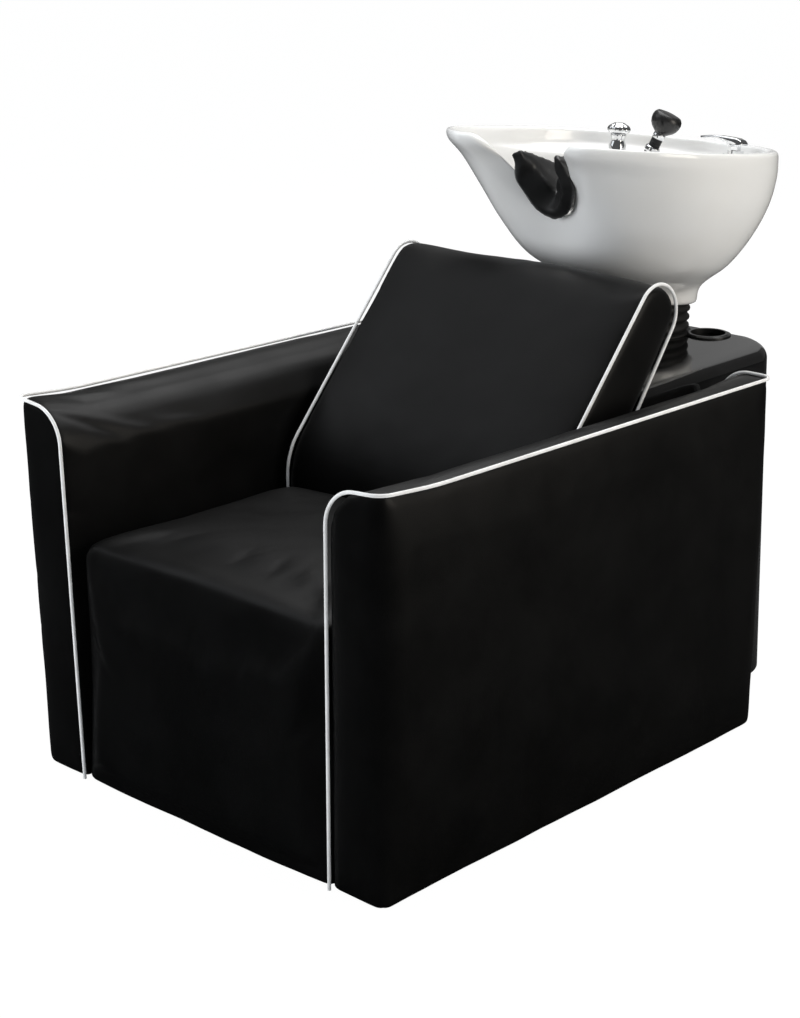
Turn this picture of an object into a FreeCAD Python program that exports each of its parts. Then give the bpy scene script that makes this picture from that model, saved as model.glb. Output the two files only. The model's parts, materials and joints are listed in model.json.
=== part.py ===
import FreeCAD, Part
import Sketcher
import math
import os
import re

# Backwash unit: upholstered chair, gloss housing and tilting ceramic shampoo bowl.
# Millimetres, +Z up, front towards -Y. The origin is on the floor below the middle of the box.
# Lengths ending in _y are measured back from the front face of the arms.
# Names starting with bowl_, deck_, tap_ or foot_ are in the bowl's own frame, whose origin is
# the tilt axis and whose rim is level; the bowl is then leant back by rest_tilt.

SIZES = [
    # where things stand
    ("front_at", -586.0), ("floor_gap", 10.0), ("house_side_gap", 12.0),
    # arms
    ("arm_width", 98.0), ("arm_length", 832.0), ("arm_height", 562.0), ("shoulder_r", 55.0),
    ("arm_corner_r", 20.0), ("core_width", 50.0), ("core_inset", 24.0), ("core_top_gap", 58.0),
    ("piping_d", 6.0), ("piping_lift", 2.0), ("seam_clear", 0.2),
    # welded base frame
    ("rail_width", 40.0), ("rail_height", 30.0), ("tube_wall", 2.5), ("rail_offset", 190.0),
    ("rail_end_y", 1090.0), ("front_post_y", 130.0), ("rear_post_y", 560.0),
    ("anchor_depth", 90.0), ("anchor_thick", 6.0), ("anchor_y", 880.0),
    ("anchor_span_x", 260.0), ("anchor_span_y", 50.0), ("anchor_hole_d", 11.0),
    # glides and bolts
    ("glide_d", 40.0), ("glide_inset", 60.0), ("stem_d", 8.0), ("stem_length", 14.0),
    ("arm_bolt_d", 10.0), ("arm_bolt_bite", 30.0), ("bolt_clear", 0.3),
    # seat
    ("board_thick", 18.0), ("seat_top", 395.0), ("seat_fall", 10.0), ("seat_thick", 118.0),
    ("seat_depth", 429.0), ("board_depth", 600.0), ("apron_foam", 40.0), ("apron_lift", 6.0),
    ("seat_edge_r", 26.0), ("seat_crown", 9.0), ("edge_draw", 13.0), ("cushion_gap", 2.0),
    # backrest
    ("back_y", 433.0), ("back_top", 723.0), ("back_top_r", 30.0), ("back_lean", 48.4),
    ("back_rear_lean", 57.5), ("back_knee_rise", 30.0), ("back_knee_run", 14.0),
    ("back_knee_bend", 120.0), ("back_side_gap", 7.0), ("back_crown", 10.0), ("back_board_inset", 16.0),
    ("back_board_short", 70.0),
    # backrest brackets
    ("bracket_width", 30.0), ("bracket_thick", 3.0), ("bracket_foot", 34.0), ("bracket_rise", 42.0),
    ("bracket_inset", 36.0), ("dome_d", 20.0), ("dome_height", 9.0),
    # rear housing
    ("house_width", 496.0), ("house_y", 684.0), ("house_end_y", 1118.0), ("tray_top", 565.0),
    ("house_wall", 4.0), ("house_corner_r", 95.0), ("house_edge_r", 18.0), ("tray_hole_d", 116.0),
    ("hose_hole_d", 66.0), ("hose_hole_x", 100.0), ("hose_hole_y", 1065.0), ("grommet_lip", 5.0),
    ("panel_width", 270.0), ("panel_height", 400.0), ("panel_thick", 3.0), ("panel_lap", 14.0),
    ("panel_base_height", 90.0), ("screw_d", 5.0), ("screw_head_d", 9.0), ("screw_length", 12.0),
    # column and tilt joint
    ("tilt_y", 1020.0), ("tilt_z", 590.0), ("rest_tilt", 5.8), ("column_d", 80.0), ("column_wall", 4.0),
    ("plate_thick", 8.0), ("plate_depth", 130.0), ("plate_wing_depth", 90.0), ("column_top", 552.0),
    ("flange_d", 106.0), ("pin_end", 2.0),
    ("clevis_length", 72.0), ("clevis_width", 92.0), ("ear_thick", 10.0), ("ear_inner", 28.0),
    ("ear_r", 18.0), ("pin_d", 12.0), ("pin_clear", 0.05), ("washer_thick", 3.6), ("washer_d", 34.0),
    ("side_play", 0.2), ("nut_thick", 10.0), ("nut_d", 22.0), ("clevis_bolt_d", 8.0),
    ("clevis_bolt_x", 35.0), ("clevis_bolt_y", 27.0),
    # bellows
    ("bellows_r", 66.0), ("bellows_depth", 6.0), ("bellows_wall", 3.0), ("bellows_flange", 4.0),
    ("bellows_seat", 0.2), ("bellows_ribs", 3.0),
    # bowl
    ("bowl_rim", 288.0), ("bowl_half_width", 247.0), ("bowl_front", 395.0), ("bowl_rear", 125.0),
    ("bowl_lip", 16.0), ("bowl_lip_r", 7.0), ("bowl_floor", 80.0), ("bowl_roundness", 2.4),
    ("foot_base", 22.0), ("foot_r", 80.0), ("foot_bore_r", 62.0), ("foot_roof", 50.0),
    ("deck_level", 262.0), ("deck_thick", 12.0), ("deck_front", 22.0), ("pocket_half", 168.0),
    ("pocket_front", 7.0), ("pocket_rear", 104.0), ("pocket_corner_r", 22.0), ("pocket_foot_half", 46.0),
    ("pocket_foot_front", 22.0), ("pocket_foot_rear", 56.0), ("pocket_base", 46.0), ("pocket_neck", 95.0),
    ("notch_base", 175.0), ("notch_r", 42.0), ("notch_flare", 28.0), ("notch_shoulder_r", 22.0),
    ("dish_depth", 36.0), ("dish_level", 195.0), ("dish_reach", 75.0),
    ("rest_thick", 12.0), ("rest_clear", 0.3), ("rest_top", 256.0), ("rest_front", 14.0),
    ("rest_depth", 66.0),
    # drain
    ("drain_y", -38.0), ("drain_r", 16.0), ("drain_flange_r", 30.0), ("drain_wall", 2.0),
    ("drain_end", 14.0), ("drain_nut_r", 22.0), ("drain_nut_thick", 9.0), ("fit_clear", 0.4),
    ("strainer_hole_d", 6.0), ("strainer_ring_r", 8.0), ("strainer_thick", 2.0), ("drain_nut_room", 2.0),
    # foot plate
    ("foot_plate_r", 56.0), ("foot_plate_thick", 6.0), ("foot_bolt_d", 8.0), ("foot_bolt_length", 16.0),
    ("foot_bolt_x", 46.0), ("foot_bolt_y", 4.0), ("foot_bolt_front_x", 36.0), ("foot_bolt_front_y", 24.0),
    ("foot_bolt_clear", 0.2),
    # taps
    ("tap_row", 46.0), ("mixer_x", 118.0), ("mixer_r", 22.0), ("mixer_top", 280.0), ("lever_axis", 296.0),
    ("lever_reach", 68.0), ("lever_width", 20.0), ("lever_hood", 17.0), ("lever_rise", 10.0),
    ("lever_tip", 5.0), ("lever_pin_r", 2.0), ("lever_pin_short", 1.0), ("cap_r", 13.6), ("cap_thick", 5.5),
    ("lug_width", 10.0), ("lug_length", 12.0), ("lug_swing", 4.0), ("tap_shank_r", 15.0),
    ("tap_shank_end", 216.0), ("tap_nut_r", 23.0), ("tap_nut_thick", 8.0), ("flange_thick", 4.0),
    ("breaker_x", -122.0), ("breaker_r", 15.0), ("breaker_neck_r", 11.0), ("breaker_neck", 298.0),
    ("breaker_top", 316.0), ("breaker_cap_r", 20.0), ("breaker_nut_r", 19.0),
    ("spray_x", -56.0), ("spray_lean", 22.0), ("spray_turn", 20.0), ("hose_r", 7.5), ("hose_clear", 0.7),
    ("hose_tail", 100.0), ("guide_r", 12.0), ("guide_top", 22.0), ("guide_tail", 34.0), ("rosette_r", 22.0),
    ("rosette_top_r", 19.0), ("boot_r", 9.5), ("collar_at", 36.0), ("collar_r", 10.5), ("head_at", 46.0),
    ("head_r", 27.0), ("head_length", 38.0), ("face_thick", 3.0), ("face_inset", 4.0),
]

doc = FreeCAD.newDocument("backwash_unit")
sheet = doc.addObject("Spreadsheet::Sheet", "Sizes")
for row, (alias, value) in enumerate(SIZES, start=1):
    sheet.set("A%d" % row, alias)
    sheet.set("B%d" % row, str(value))
    sheet.setAlias("B%d" % row, alias)
doc.recompute()

ALIASES = {alias for alias, value in SIZES}

# Sizes that follow from others: the arms stand beside the housing, and the brackets near its sides.
DERIVED = {"seat_gap": "(house_width + 2 * house_side_gap)",
           "bracket_offset": "(house_width / 2 - bracket_inset)"}
nodes = {}


def linked(text):
    """Turn plain size words into references to the sheet."""
    for word, formula in DERIVED.items():
        text = re.sub(r"\b%s\b" % word, formula, text)
    return re.sub(r"[a-z_]\w*", lambda m: ("Sizes." if m.group() in ALIASES else "") + m.group(), text)


def value(text):
    """Number that a size expression has now."""
    return float(sheet.evalExpression(linked(text)))


def bind(obj, prop, text):
    obj.setExpression(prop, linked(text))


def put(obj, x="0", y="0", z="0"):
    for axis, text in zip("xyz", (x, y, z)):
        bind(obj, "Placement.Base." + axis, text)
    return obj


def node(obj, label):
    """Name a finished sub-part: its label names its file."""
    obj.Label = label
    nodes[label] = obj
    return obj


def box(length, width, height, x, y, z):
    """Block whose near left bottom corner is at x, y, z."""
    obj = doc.addObject("Part::Box", "Block")
    bind(obj, "Length", length)
    bind(obj, "Width", width)
    bind(obj, "Height", height)
    return put(obj, x, y, z)


TURNS = {"z": FreeCAD.Rotation(), "x": FreeCAD.Rotation(FreeCAD.Vector(0, 1, 0), 90),
         "y": FreeCAD.Rotation(FreeCAD.Vector(1, 0, 0), -90)}


def rod(radius, height, x, y, z, along="z"):
    """Cylinder that starts at x, y, z and runs along an axis."""
    obj = doc.addObject("Part::Cylinder", "Rod")
    bind(obj, "Radius", radius)
    bind(obj, "Height", height)
    obj.Placement.Rotation = TURNS[along]
    return put(obj, x, y, z)


def fuse(*shapes):
    obj = doc.addObject("Part::MultiFuse", "Join")
    obj.Shapes = list(shapes)
    obj.Refine = True
    return obj


def group(*shapes):
    """Several separate solids in one node."""
    obj = doc.addObject("Part::Compound", "Group")
    obj.Links = list(shapes)
    return obj


def cut(base, *tools):
    obj = doc.addObject("Part::Cut", "Cut")
    obj.Base = base
    obj.Tool = tools[0] if len(tools) == 1 else fuse(*tools)
    return obj


def solid(shape):
    """Sub-part whose form is worked out here from the sheet's sizes."""
    obj = doc.addObject("Part::Feature", "Form")
    obj.Shape = shape
    return obj


def outline(body, plane, points):
    """Closed sketch of straight lines whose corners follow size expressions."""
    sketch = body.newObject("Sketcher::SketchObject", "Outline")
    base = next(item for item in body.Origin.OriginFeatures if item.Role == plane)
    sketch.AttachmentSupport = [(base, "")]
    sketch.MapMode = "FlatFace"
    places = [FreeCAD.Vector(value(u), value(v), 0) for u, v in points]
    for start, end in zip(places, places[1:] + places[:1]):
        sketch.addGeometry(Part.LineSegment(start, end))
    for index, (u, v) in enumerate(points):
        after = (index + 1) % len(points)
        sketch.addConstraint(Sketcher.Constraint("Coincident", index, 2, after, 1))
    for index, (u, v) in enumerate(points):
        for kind, text, axis in (("DistanceX", u, -2), ("DistanceY", v, -1)):
            if text == "0":
                sketch.addConstraint(Sketcher.Constraint("PointOnObject", index, 1, axis))
            else:
                number = sketch.addConstraint(Sketcher.Constraint(kind, -1, 1, index, 1, value(text)))
                bind(sketch, "Constraints[%d]" % number, text)
    return sketch


def turned(points):
    """Body of revolution about its own upright axis, from (radius, height) corners."""
    body = doc.addObject("PartDesign::Body", "Turned")
    sketch = outline(body, "XZ_Plane", points)
    spin = body.newObject("PartDesign::Revolution", "Spin")
    spin.Profile = sketch
    spin.ReferenceAxis = (sketch, ["V_Axis"])
    spin.Angle = 360.0
    return body


def padded(plane, points, length):
    """Body made by drawing an outline and padding it evenly to both sides of its plane."""
    body = doc.addObject("PartDesign::Body", "Padded")
    pad = body.newObject("PartDesign::Pad", "Pad")
    pad.Profile = outline(body, plane, points)
    pad.Midplane = True
    bind(pad, "Length", length)
    return body


def rounded(body, radius, wanted):
    """Fillet the edges of a body's newest feature whose middle point passes a test."""
    doc.recompute()
    base = body.Tip
    names = ["Edge%d" % (n + 1) for n, edge in enumerate(base.Shape.Edges) if wanted(edge)]
    feature = body.newObject("PartDesign::Fillet", "Round")
    feature.Base = (base, names)
    bind(feature, "Radius", radius)
    return body


def middle(edge):
    return edge.valueAt((edge.FirstParameter + edge.LastParameter) / 2)


def ring_points(half_width, front, rear, widest, power, dish, count=16):
    """Points of a rounded outline, widest at one place and drawn in by a dish at its frontmost point."""
    points = []
    for step in range(count):
        angle = 2 * math.pi * step / count
        side, back = math.cos(angle), math.sin(angle)
        reach = rear - widest if back > 0 else widest - front
        points.append((half_width * math.copysign(abs(side) ** (2 / power), side),
                       widest + reach * math.copysign(abs(back) ** (2 / power), back)))
    foremost = 3 * count // 4
    points[foremost] = (0.0, front + dish)
    return points


def ring_wire(height, half_width, front, rear, widest, power, dish):
    """Closed smooth wire through such an outline."""
    places = ring_points(half_width, front, rear, widest, power, dish)
    points = [FreeCAD.Vector(x, y, height) for x, y in places]
    curve = Part.BSplineCurve()
    curve.interpolate(points, PeriodicFlag=True)
    return Part.Wire([curve.toShape()])


def tube_along(edges, radius):
    """Round bar swept along a path."""
    path = Part.Wire(edges)
    start = path.Edges[0]
    ring = Part.Wire([Part.makeCircle(radius, start.valueAt(start.FirstParameter),
                                      start.tangentAt(start.FirstParameter))])
    return path.makePipe(Part.Face(ring))


def route(points, radii):
    """Straight runs joined by tangent arcs of the given radii at the inner points."""
    vectors = [FreeCAD.Vector(*point) for point in points]
    edges = []
    start = vectors[0]
    for before, corner, after, radius in zip(vectors, vectors[1:], vectors[2:], radii):
        into = (corner - before).normalize()
        out = (after - corner).normalize()
        turn = into.getAngle(out)
        reach = radius * math.tan(turn / 2)
        first, last = corner - into * reach, corner + out * reach
        bisector = (out - into).normalize()
        mid = corner + bisector * (radius / math.cos(turn / 2) - radius)
        if (first - start).Length > 0.01:
            edges.append(Part.makeLine(start, first))
        edges.append(Part.Arc(first, mid, last).toShape())
        start = last
    edges.append(Part.makeLine(start, vectors[-1]))
    return edges


def mirrored(shape):
    return shape.mirror(FreeCAD.Vector(0, 0, 0), FreeCAD.Vector(1, 0, 0))


SIDES = (("left", -1), ("right", 1))

# Base frame: two floor rails, four posts, two cross rails and an anchor plate, welded into one piece.


def tube(length, width, height, x, y, z, hollow):
    """Square tube that is open at both ends along one axis."""
    grow = {axis: "tube_wall" if axis != hollow else "-1" for axis in "xyz"}
    outer = box(length, width, height, x, y, z)
    inner = box("%s - 2 * %s" % (length, grow["x"]), "%s - 2 * %s" % (width, grow["y"]),
                "%s - 2 * %s" % (height, grow["z"]), "%s + %s" % (x, grow["x"]),
                "%s + %s" % (y, grow["y"]), "%s + %s" % (z, grow["z"]))
    return cut(outer, inner)


RAIL_START = "apron_foam + board_thick"
BOARD_BASE = "seat_top - seat_thick - board_thick"
frame_tubes = []
for side in ("-1", "1"):
    rail_x = "%s * rail_offset - rail_width / 2" % side
    frame_tubes.append(tube("rail_width", "rail_end_y - (%s)" % RAIL_START, "rail_height",
                            rail_x, "front_at + " + RAIL_START, "floor_gap", "y"))
    for post in ("front_post_y", "rear_post_y"):
        frame_tubes.append(tube("rail_width", "rail_width", BOARD_BASE + " - 2 * rail_height - floor_gap",
                                rail_x, "front_at + %s - rail_width / 2" % post,
                                "floor_gap + rail_height", "z"))
for post in ("front_post_y", "rear_post_y"):
    frame_tubes.append(tube("seat_gap", "rail_width", "rail_height", "-seat_gap / 2",
                            "front_at + %s - rail_width / 2" % post, BOARD_BASE + " - rail_height", "x"))
anchor = box("2 * rail_offset - rail_width", "anchor_depth", "anchor_thick", "rail_width / 2 - rail_offset",
             "front_at + anchor_y - anchor_depth / 2", "floor_gap")
anchor_holes = [rod("anchor_hole_d / 2", "3 * anchor_thick", "%s * anchor_span_x / 2" % side,
                    "front_at + anchor_y + %s * anchor_span_y / 2" % end, "floor_gap - anchor_thick")
                for side in ("-1", "1") for end in ("-1", "1")]
node(fuse(*frame_tubes, cut(anchor, *anchor_holes)), "base_frame")

# Arms: a plywood core, an upholstered cover open at the bottom, and the piping sewn round its edge.
ARM_MID = "(seat_gap + arm_width) / 2"


def arm_bolt_rods(side, radius):
    return [rod(radius, "arm_bolt_bite + (arm_width - core_width) / 2",
                "seat_gap / 2" if side > 0 else
                "-seat_gap / 2 - arm_bolt_bite - (arm_width - core_width) / 2",
                "front_at + " + post, BOARD_BASE + " - rail_height / 2", "x")
            for post in ("front_post_y", "rear_post_y")]


def arm_piping(side, radius):
    """Piping: up the inner front edge, across the front, along the outer edge, and down behind."""
    inner, outer = value("seat_gap / 2"), value("seat_gap / 2 + arm_width")
    base, top = value("floor_gap + piping_lift"), value("floor_gap + arm_height")
    front, rear = value("front_at"), value("front_at + arm_length")
    bend, corner = value("shoulder_r"), value("arm_corner_r")
    path = route([(inner, front, base), (inner, front, top), (outer, front, top), (outer, rear, top),
                  (inner, rear, top), (inner, rear, base)], [bend, corner, corner, bend])
    shape = tube_along(path, radius)
    return shape if side > 0 else mirrored(shape)


for name, side in SIDES:
    middle_x = "%d * %s" % (side, ARM_MID)
    body = padded("XZ_Plane", [("-arm_width / 2", "0"), ("arm_width / 2", "0"),
                               ("arm_width / 2", "arm_height"), ("-arm_width / 2", "arm_height")],
                  "arm_length")
    inner_x = -side * value("arm_width / 2")
    high = value("arm_height")
    rounded(body, "shoulder_r", lambda e: abs(middle(e).x - inner_x) < 1 and abs(middle(e).z - high) < 1
            and abs(middle(e).y) < 1)
    rounded(body, "arm_corner_r", lambda e: abs(middle(e).x + inner_x) < 1
            and abs(middle(e).z - high / 2) < 1)
    put(body, middle_x, "front_at + arm_length / 2", "floor_gap")
    core = box("core_width", "arm_length - 2 * core_inset", "arm_height - core_top_gap",
               middle_x + " - core_width / 2", "front_at + core_inset", "floor_gap")
    seam = solid(arm_piping(side, value("piping_d / 2 + seam_clear")))
    cavity = box("core_width", "arm_length - 2 * core_inset", "arm_height - core_top_gap",
                 middle_x + " - core_width / 2", "front_at + core_inset", "floor_gap")
    clear_holes = arm_bolt_rods(side, "arm_bolt_d / 2 + bolt_clear")
    node(cut(cut(body, cavity), seam, *clear_holes), "arm_cover_" + name)
    glide_holes = [rod("stem_d / 2", "stem_length", middle_x, "front_at + " + at, "floor_gap")
                   for at in ("glide_inset", "arm_length - glide_inset")]
    node(cut(core, *glide_holes, *arm_bolt_rods(side, "arm_bolt_d / 2")), "arm_core_" + name)
    node(solid(arm_piping(side, value("piping_d / 2"))), "arm_piping_" + name)
node(group(*arm_bolt_rods(-1, "arm_bolt_d / 2"), *arm_bolt_rods(1, "arm_bolt_d / 2")), "arm_bolts")

# Floor glides: four under the arms and two under the rear ends of the rails.


def glide(x, y, stem):
    pad = rod("glide_d / 2", "floor_gap", x, y, "0")
    if not stem:
        return pad
    return fuse(pad, rod("stem_d / 2", "stem_length", x, y, "floor_gap"))


node(group(*[glide("%d * %s" % (side, ARM_MID), "front_at + " + at, True)
             for name, side in SIDES for at in ("glide_inset", "arm_length - glide_inset")],
           *[glide("%d * rail_offset" % side, "front_at + rail_end_y - glide_inset", False)
             for name, side in SIDES]), "floor_glides")

# Seat: two boards and one crowned cushion that runs down the front as an apron.
CUSHION_HALF = "seat_gap / 2 - cushion_gap"
node(box("2 * (%s)" % CUSHION_HALF, "board_depth - apron_foam", "board_thick", "-(%s)" % CUSHION_HALF,
         "front_at + apron_foam", BOARD_BASE), "seat_board")
node(box("2 * (%s)" % CUSHION_HALF, "board_thick", BOARD_BASE + " - floor_gap - apron_lift",
         "-(%s)" % CUSHION_HALF, "front_at + apron_foam", "floor_gap + apron_lift"), "apron_board")


def crown_at(share, crown, draw):
    """Swell of a cushion across its width: highest in the middle, drawn in at the sides."""
    return crown * (1 - share ** 2) - draw * share ** 10


def crowned(section, half_width, crown, draw):
    """Cushion lofted through sections whose swell follows the crown."""
    wires = []
    for share in (-1, -0.9, -0.6, 0, 0.6, 0.9, 1):
        wires.append(section(share * half_width, crown_at(abs(share), crown, draw)))
    return Part.makeLoft(wires, True, False)


# Shares of the seat's swell that show on the apron and at the knee of the backrest.
APRON_SHARE = 0.4
KNEE_SHARE = 0.8


def seat_section(x, swell):
    """Side outline of the seat cushion and its apron."""
    front, top = value("front_at") - swell * APRON_SHARE, value("seat_top - seat_crown") + swell
    rear, edge = value("front_at + seat_depth"), value("seat_edge_r")
    under, apron = value("seat_top - seat_thick"), value("front_at + apron_foam")
    base = value("floor_gap + apron_lift")
    slope = value("seat_fall") / (rear - front)
    at = lambda y, z: FreeCAD.Vector(x, y, z)
    bend = edge * (1 - math.sqrt(0.5))
    arc = Part.Arc(at(front, top - edge), at(front + bend, top - bend), at(front + edge, top))
    return Part.Wire([Part.makeLine(at(front, base), at(front, top - edge)), arc.toShape(),
                      Part.makeLine(at(front + edge, top), at(rear, top - slope * (rear - front))),
                      Part.makeLine(at(rear, top - slope * (rear - front)), at(rear, under)),
                      Part.makeLine(at(rear, under), at(apron, under)),
                      Part.makeLine(at(apron, under), at(apron, base)),
                      Part.makeLine(at(apron, base), at(front, base))])


seat_form = crowned(seat_section, value(CUSHION_HALF), value("seat_crown"), value("edge_draw"))
node(solid(seat_form), "seat_cushion")

# Backrest: a leaning wedge with a round top, a board inside it and piping round both side panels.
BACK_HALF = value("seat_gap / 2 - back_side_gap")


def back_corners(swell):
    """Foot, knee, front and rear tangent points, top centre and rear foot of the side outline (y, z)."""
    lean, rear_lean = math.radians(value("back_lean")), math.radians(value("back_rear_lean"))
    radius = value("back_top_r")
    base = value("seat_top - seat_thick")
    foot = (value("front_at + back_y"), base)
    knee = (foot[0] + value("back_knee_run") - swell * KNEE_SHARE, value("seat_top + back_knee_rise"))
    centre_z = value("back_top - back_crown") + swell - radius
    front_z = centre_z + radius * math.cos(lean)
    front = (knee[0] + (front_z - knee[1]) / math.tan(lean), front_z)
    centre = (front[0] + radius * math.sin(lean), centre_z)
    rear = (centre[0] + radius * math.sin(rear_lean), centre_z - radius * math.cos(rear_lean))
    rear_foot = (rear[0] - (rear[1] - base) / math.tan(rear_lean), base)
    return foot, knee, front, rear, centre, rear_foot


def back_edges(x, swell):
    """Edges of the side outline from the foot up the front, over the top and down the rear."""
    foot, knee, front, rear, centre, rear_foot = back_corners(swell)
    at = lambda place: FreeCAD.Vector(x, *place)
    top = (centre[0], centre[1] + value("back_top_r"))
    return [Part.makeLine(at(foot), at(knee)), Part.makeLine(at(knee), at(front)),
            Part.Arc(at(front), at(top), at(rear)).toShape(), Part.makeLine(at(rear), at(rear_foot))]


def back_section(x, swell):
    edges = back_edges(x, swell)
    return Part.Wire(edges + [Part.makeLine(edges[-1].Vertexes[1].Point, edges[0].Vertexes[0].Point)])


def above_board(shape):
    """Trim what reaches below the top of the seat board."""
    wide, level = value("seat_gap"), value("seat_top - seat_thick")
    return shape.cut(Part.makeBox(2 * wide, 8 * wide, level, FreeCAD.Vector(-wide, -4 * wide, 0)))


def back_piping(side, radius):
    """Piping round one side panel, from the front foot over the top to the rear foot."""
    x = side * BACK_HALF
    foot, knee, front = [(x, *place) for place in back_corners(-value("edge_draw"))[:3]]
    over_top = back_edges(x, -value("edge_draw"))[2:]
    return above_board(tube_along(route([foot, knee, front], [value("back_knee_bend")]) + over_top, radius))


def back_board():
    """Slab along the rear face, inside the cushion and open to its foot."""
    grow = value("seat_thick")
    foot, knee, front, rear, centre, rear_foot = back_corners(0)
    lean = math.radians(value("back_rear_lean"))
    along = FreeCAD.Vector(0, math.cos(lean), math.sin(lean))
    inward = FreeCAD.Vector(0, -math.sin(lean), math.cos(lean))
    start = FreeCAD.Vector(0, *rear_foot) + inward * value("back_board_inset")
    start = start - along * (start.z - rear_foot[1]) * (1 / math.sin(lean))
    length = (rear[1] - rear_foot[1]) / math.sin(lean) - value("back_board_short")
    half = BACK_HALF - value("back_board_inset")
    shift = inward * value("board_thick")
    corners = [start - along * grow, start + along * length, start + along * length + shift,
               start + shift - along * grow]
    face = Part.Face(Part.makePolygon(corners + corners[:1]))
    face.translate(FreeCAD.Vector(-half, 0, 0))
    return above_board(face.extrude(FreeCAD.Vector(2 * half, 0, 0)))


cushion = crowned(back_section, BACK_HALF, value("back_crown"), value("edge_draw"))
seams = [back_piping(side, value("piping_d / 2 + seam_clear")) for name, side in SIDES]
node(cut(solid(cushion), solid(back_board()), *[solid(seam) for seam in seams]), "backrest_cushion")
node(solid(back_board()), "backrest_board")
for name, side in SIDES:
    node(solid(back_piping(side, value("piping_d / 2"))), "backrest_piping_" + name)

# Rear housing: one gloss moulding with rounded rear corners, open at the bottom.
HOUSE_MID = "front_at + (house_y + house_end_y) / 2"
HOUSE_DEPTH = "house_end_y - house_y"
HOUSE_FRONT, HOUSE_REAR = "-(%s) / 2" % HOUSE_DEPTH, "(%s) / 2" % HOUSE_DEPTH
house = padded("XY_Plane", [("-house_width / 2", HOUSE_FRONT), ("house_width / 2", HOUSE_FRONT),
                            ("house_width / 2", HOUSE_REAR), ("-house_width / 2", HOUSE_REAR)],
               "tray_top - floor_gap")
rear_y = value(HOUSE_REAR)
high = value("(tray_top - floor_gap) / 2")
rounded(house, "house_corner_r", lambda e: abs(middle(e).z) < 1 and middle(e).y > rear_y - 1)
rounded(house, "house_edge_r", lambda e: abs(middle(e).z - high) < 1 and middle(e).y > 1 - rear_y)
doc.recompute()
block = house.Tip
low_face = min(range(len(block.Shape.Faces)), key=lambda n: block.Shape.Faces[n].CenterOfMass.z)
shell = house.newObject("PartDesign::Thickness", "Shell")
shell.Base = (block, ["Face%d" % (low_face + 1)])
shell.Reversed = True
shell.Join = 0
bind(shell, "Value", "house_wall")
put(house, "0", HOUSE_MID, "(tray_top + floor_gap) / 2")
tray_hole = rod("tray_hole_d / 2", "6 * house_wall", "0", "front_at + tilt_y", "tray_top - 3 * house_wall")
hose_hole = rod("hose_hole_d / 2", "6 * house_wall", "hose_hole_x", "front_at + hose_hole_y",
                "tray_top - 3 * house_wall")
service_hole = box("panel_width - 2 * panel_lap", "4 * house_wall", "panel_height - 2 * panel_lap",
                   "panel_lap - panel_width / 2", "front_at + house_end_y - 2 * house_wall",
                   "panel_base_height + panel_lap")


def panel_screws(radius, length, start):
    return [rod(radius, length, "%s * (panel_width - panel_lap) / 2" % side, start,
                "panel_base_height + panel_height / 2 + %s * (panel_height - panel_lap) / 2" % end, "y")
            for side in ("-1", "1") for end in ("-1", "1")]


PANEL_BACK = "front_at + house_end_y"
rail_slots = [box("rail_width + 2 * fit_clear", "4 * house_wall", "rail_height + fit_clear",
                  "%s * rail_offset - rail_width / 2 - fit_clear" % side,
                  "front_at + house_y - house_wall", "floor_gap")
              for side in ("-1", "1")]
node(cut(house, tray_hole, hose_hole, service_hole, *rail_slots,
         *panel_screws("screw_d / 2", "4 * house_wall", PANEL_BACK + " - 2 * house_wall")), "housing_shell")
panel = box("panel_width", "panel_thick", "panel_height", "-panel_width / 2", PANEL_BACK, "panel_base_height")
panel_holes = panel_screws("screw_d / 2", "4 * panel_thick", PANEL_BACK + " - panel_thick")
node(cut(panel, *panel_holes), "service_panel")
heads = panel_screws("screw_head_d / 2", "panel_thick", PANEL_BACK + " + panel_thick")
shanks = panel_screws("screw_d / 2", "screw_length", PANEL_BACK + " + panel_thick - screw_length")
node(group(*[fuse(head, shank) for head, shank in zip(heads, shanks)]), "service_panel_screws")

# Grommet: a flanged ring that lines the hose hole in the tray.
grommet = turned([("hose_hole_d / 2 - house_wall", "-2 * house_wall"), ("hose_hole_d / 2", "-2 * house_wall"),
                  ("hose_hole_d / 2", "0"), ("hose_hole_d / 2 + grommet_lip", "0"),
                  ("hose_hole_d / 2 + grommet_lip", "house_wall / 2"), ("hose_hole_d / 2", "house_wall"),
                  ("hose_hole_d / 2 - house_wall", "house_wall")])
node(put(grommet, "hose_hole_x", "front_at + hose_hole_y", "tray_top"), "tray_grommet")

# Backrest brackets: bent straps from the tray to the rear face of the backrest, with dome bolts.


def bracket(side):
    foot, knee, front, rear, centre, rear_foot = back_corners(crown_at(
        value("bracket_offset + bracket_width / 2") / BACK_HALF, value("back_crown"), value("edge_draw")))
    lean = math.radians(value("back_rear_lean"))
    along = (math.cos(lean), math.sin(lean))
    away = (math.sin(lean), -math.cos(lean))
    tray, thick = value("tray_top"), value("bracket_thick")

    def leg(offset, height):
        """Point beside the rear face at a height."""
        base = (rear_foot[0] + away[0] * offset, rear_foot[1] + away[1] * offset)
        run = (height - base[1]) / along[1]
        return base[0] + along[0] * run, height

    gap = value("seam_clear")
    high = tray + value("bracket_rise")
    near, far = leg(gap, high), leg(gap + thick, high)
    bend_in, bend_out = leg(gap, tray), leg(gap + thick, tray + thick)
    toe = bend_out[0] + value("bracket_foot")
    points = [near, bend_in, (toe, tray), (toe, tray + thick), bend_out, far]
    x = side * value("bracket_offset") - value("bracket_width / 2")
    wire = Part.makePolygon([FreeCAD.Vector(x, *point) for point in points + points[:1]])
    strap = Part.Face(wire).extrude(FreeCAD.Vector(value("bracket_width"), 0, 0))
    return strap, toe - value("bracket_foot / 2")


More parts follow.
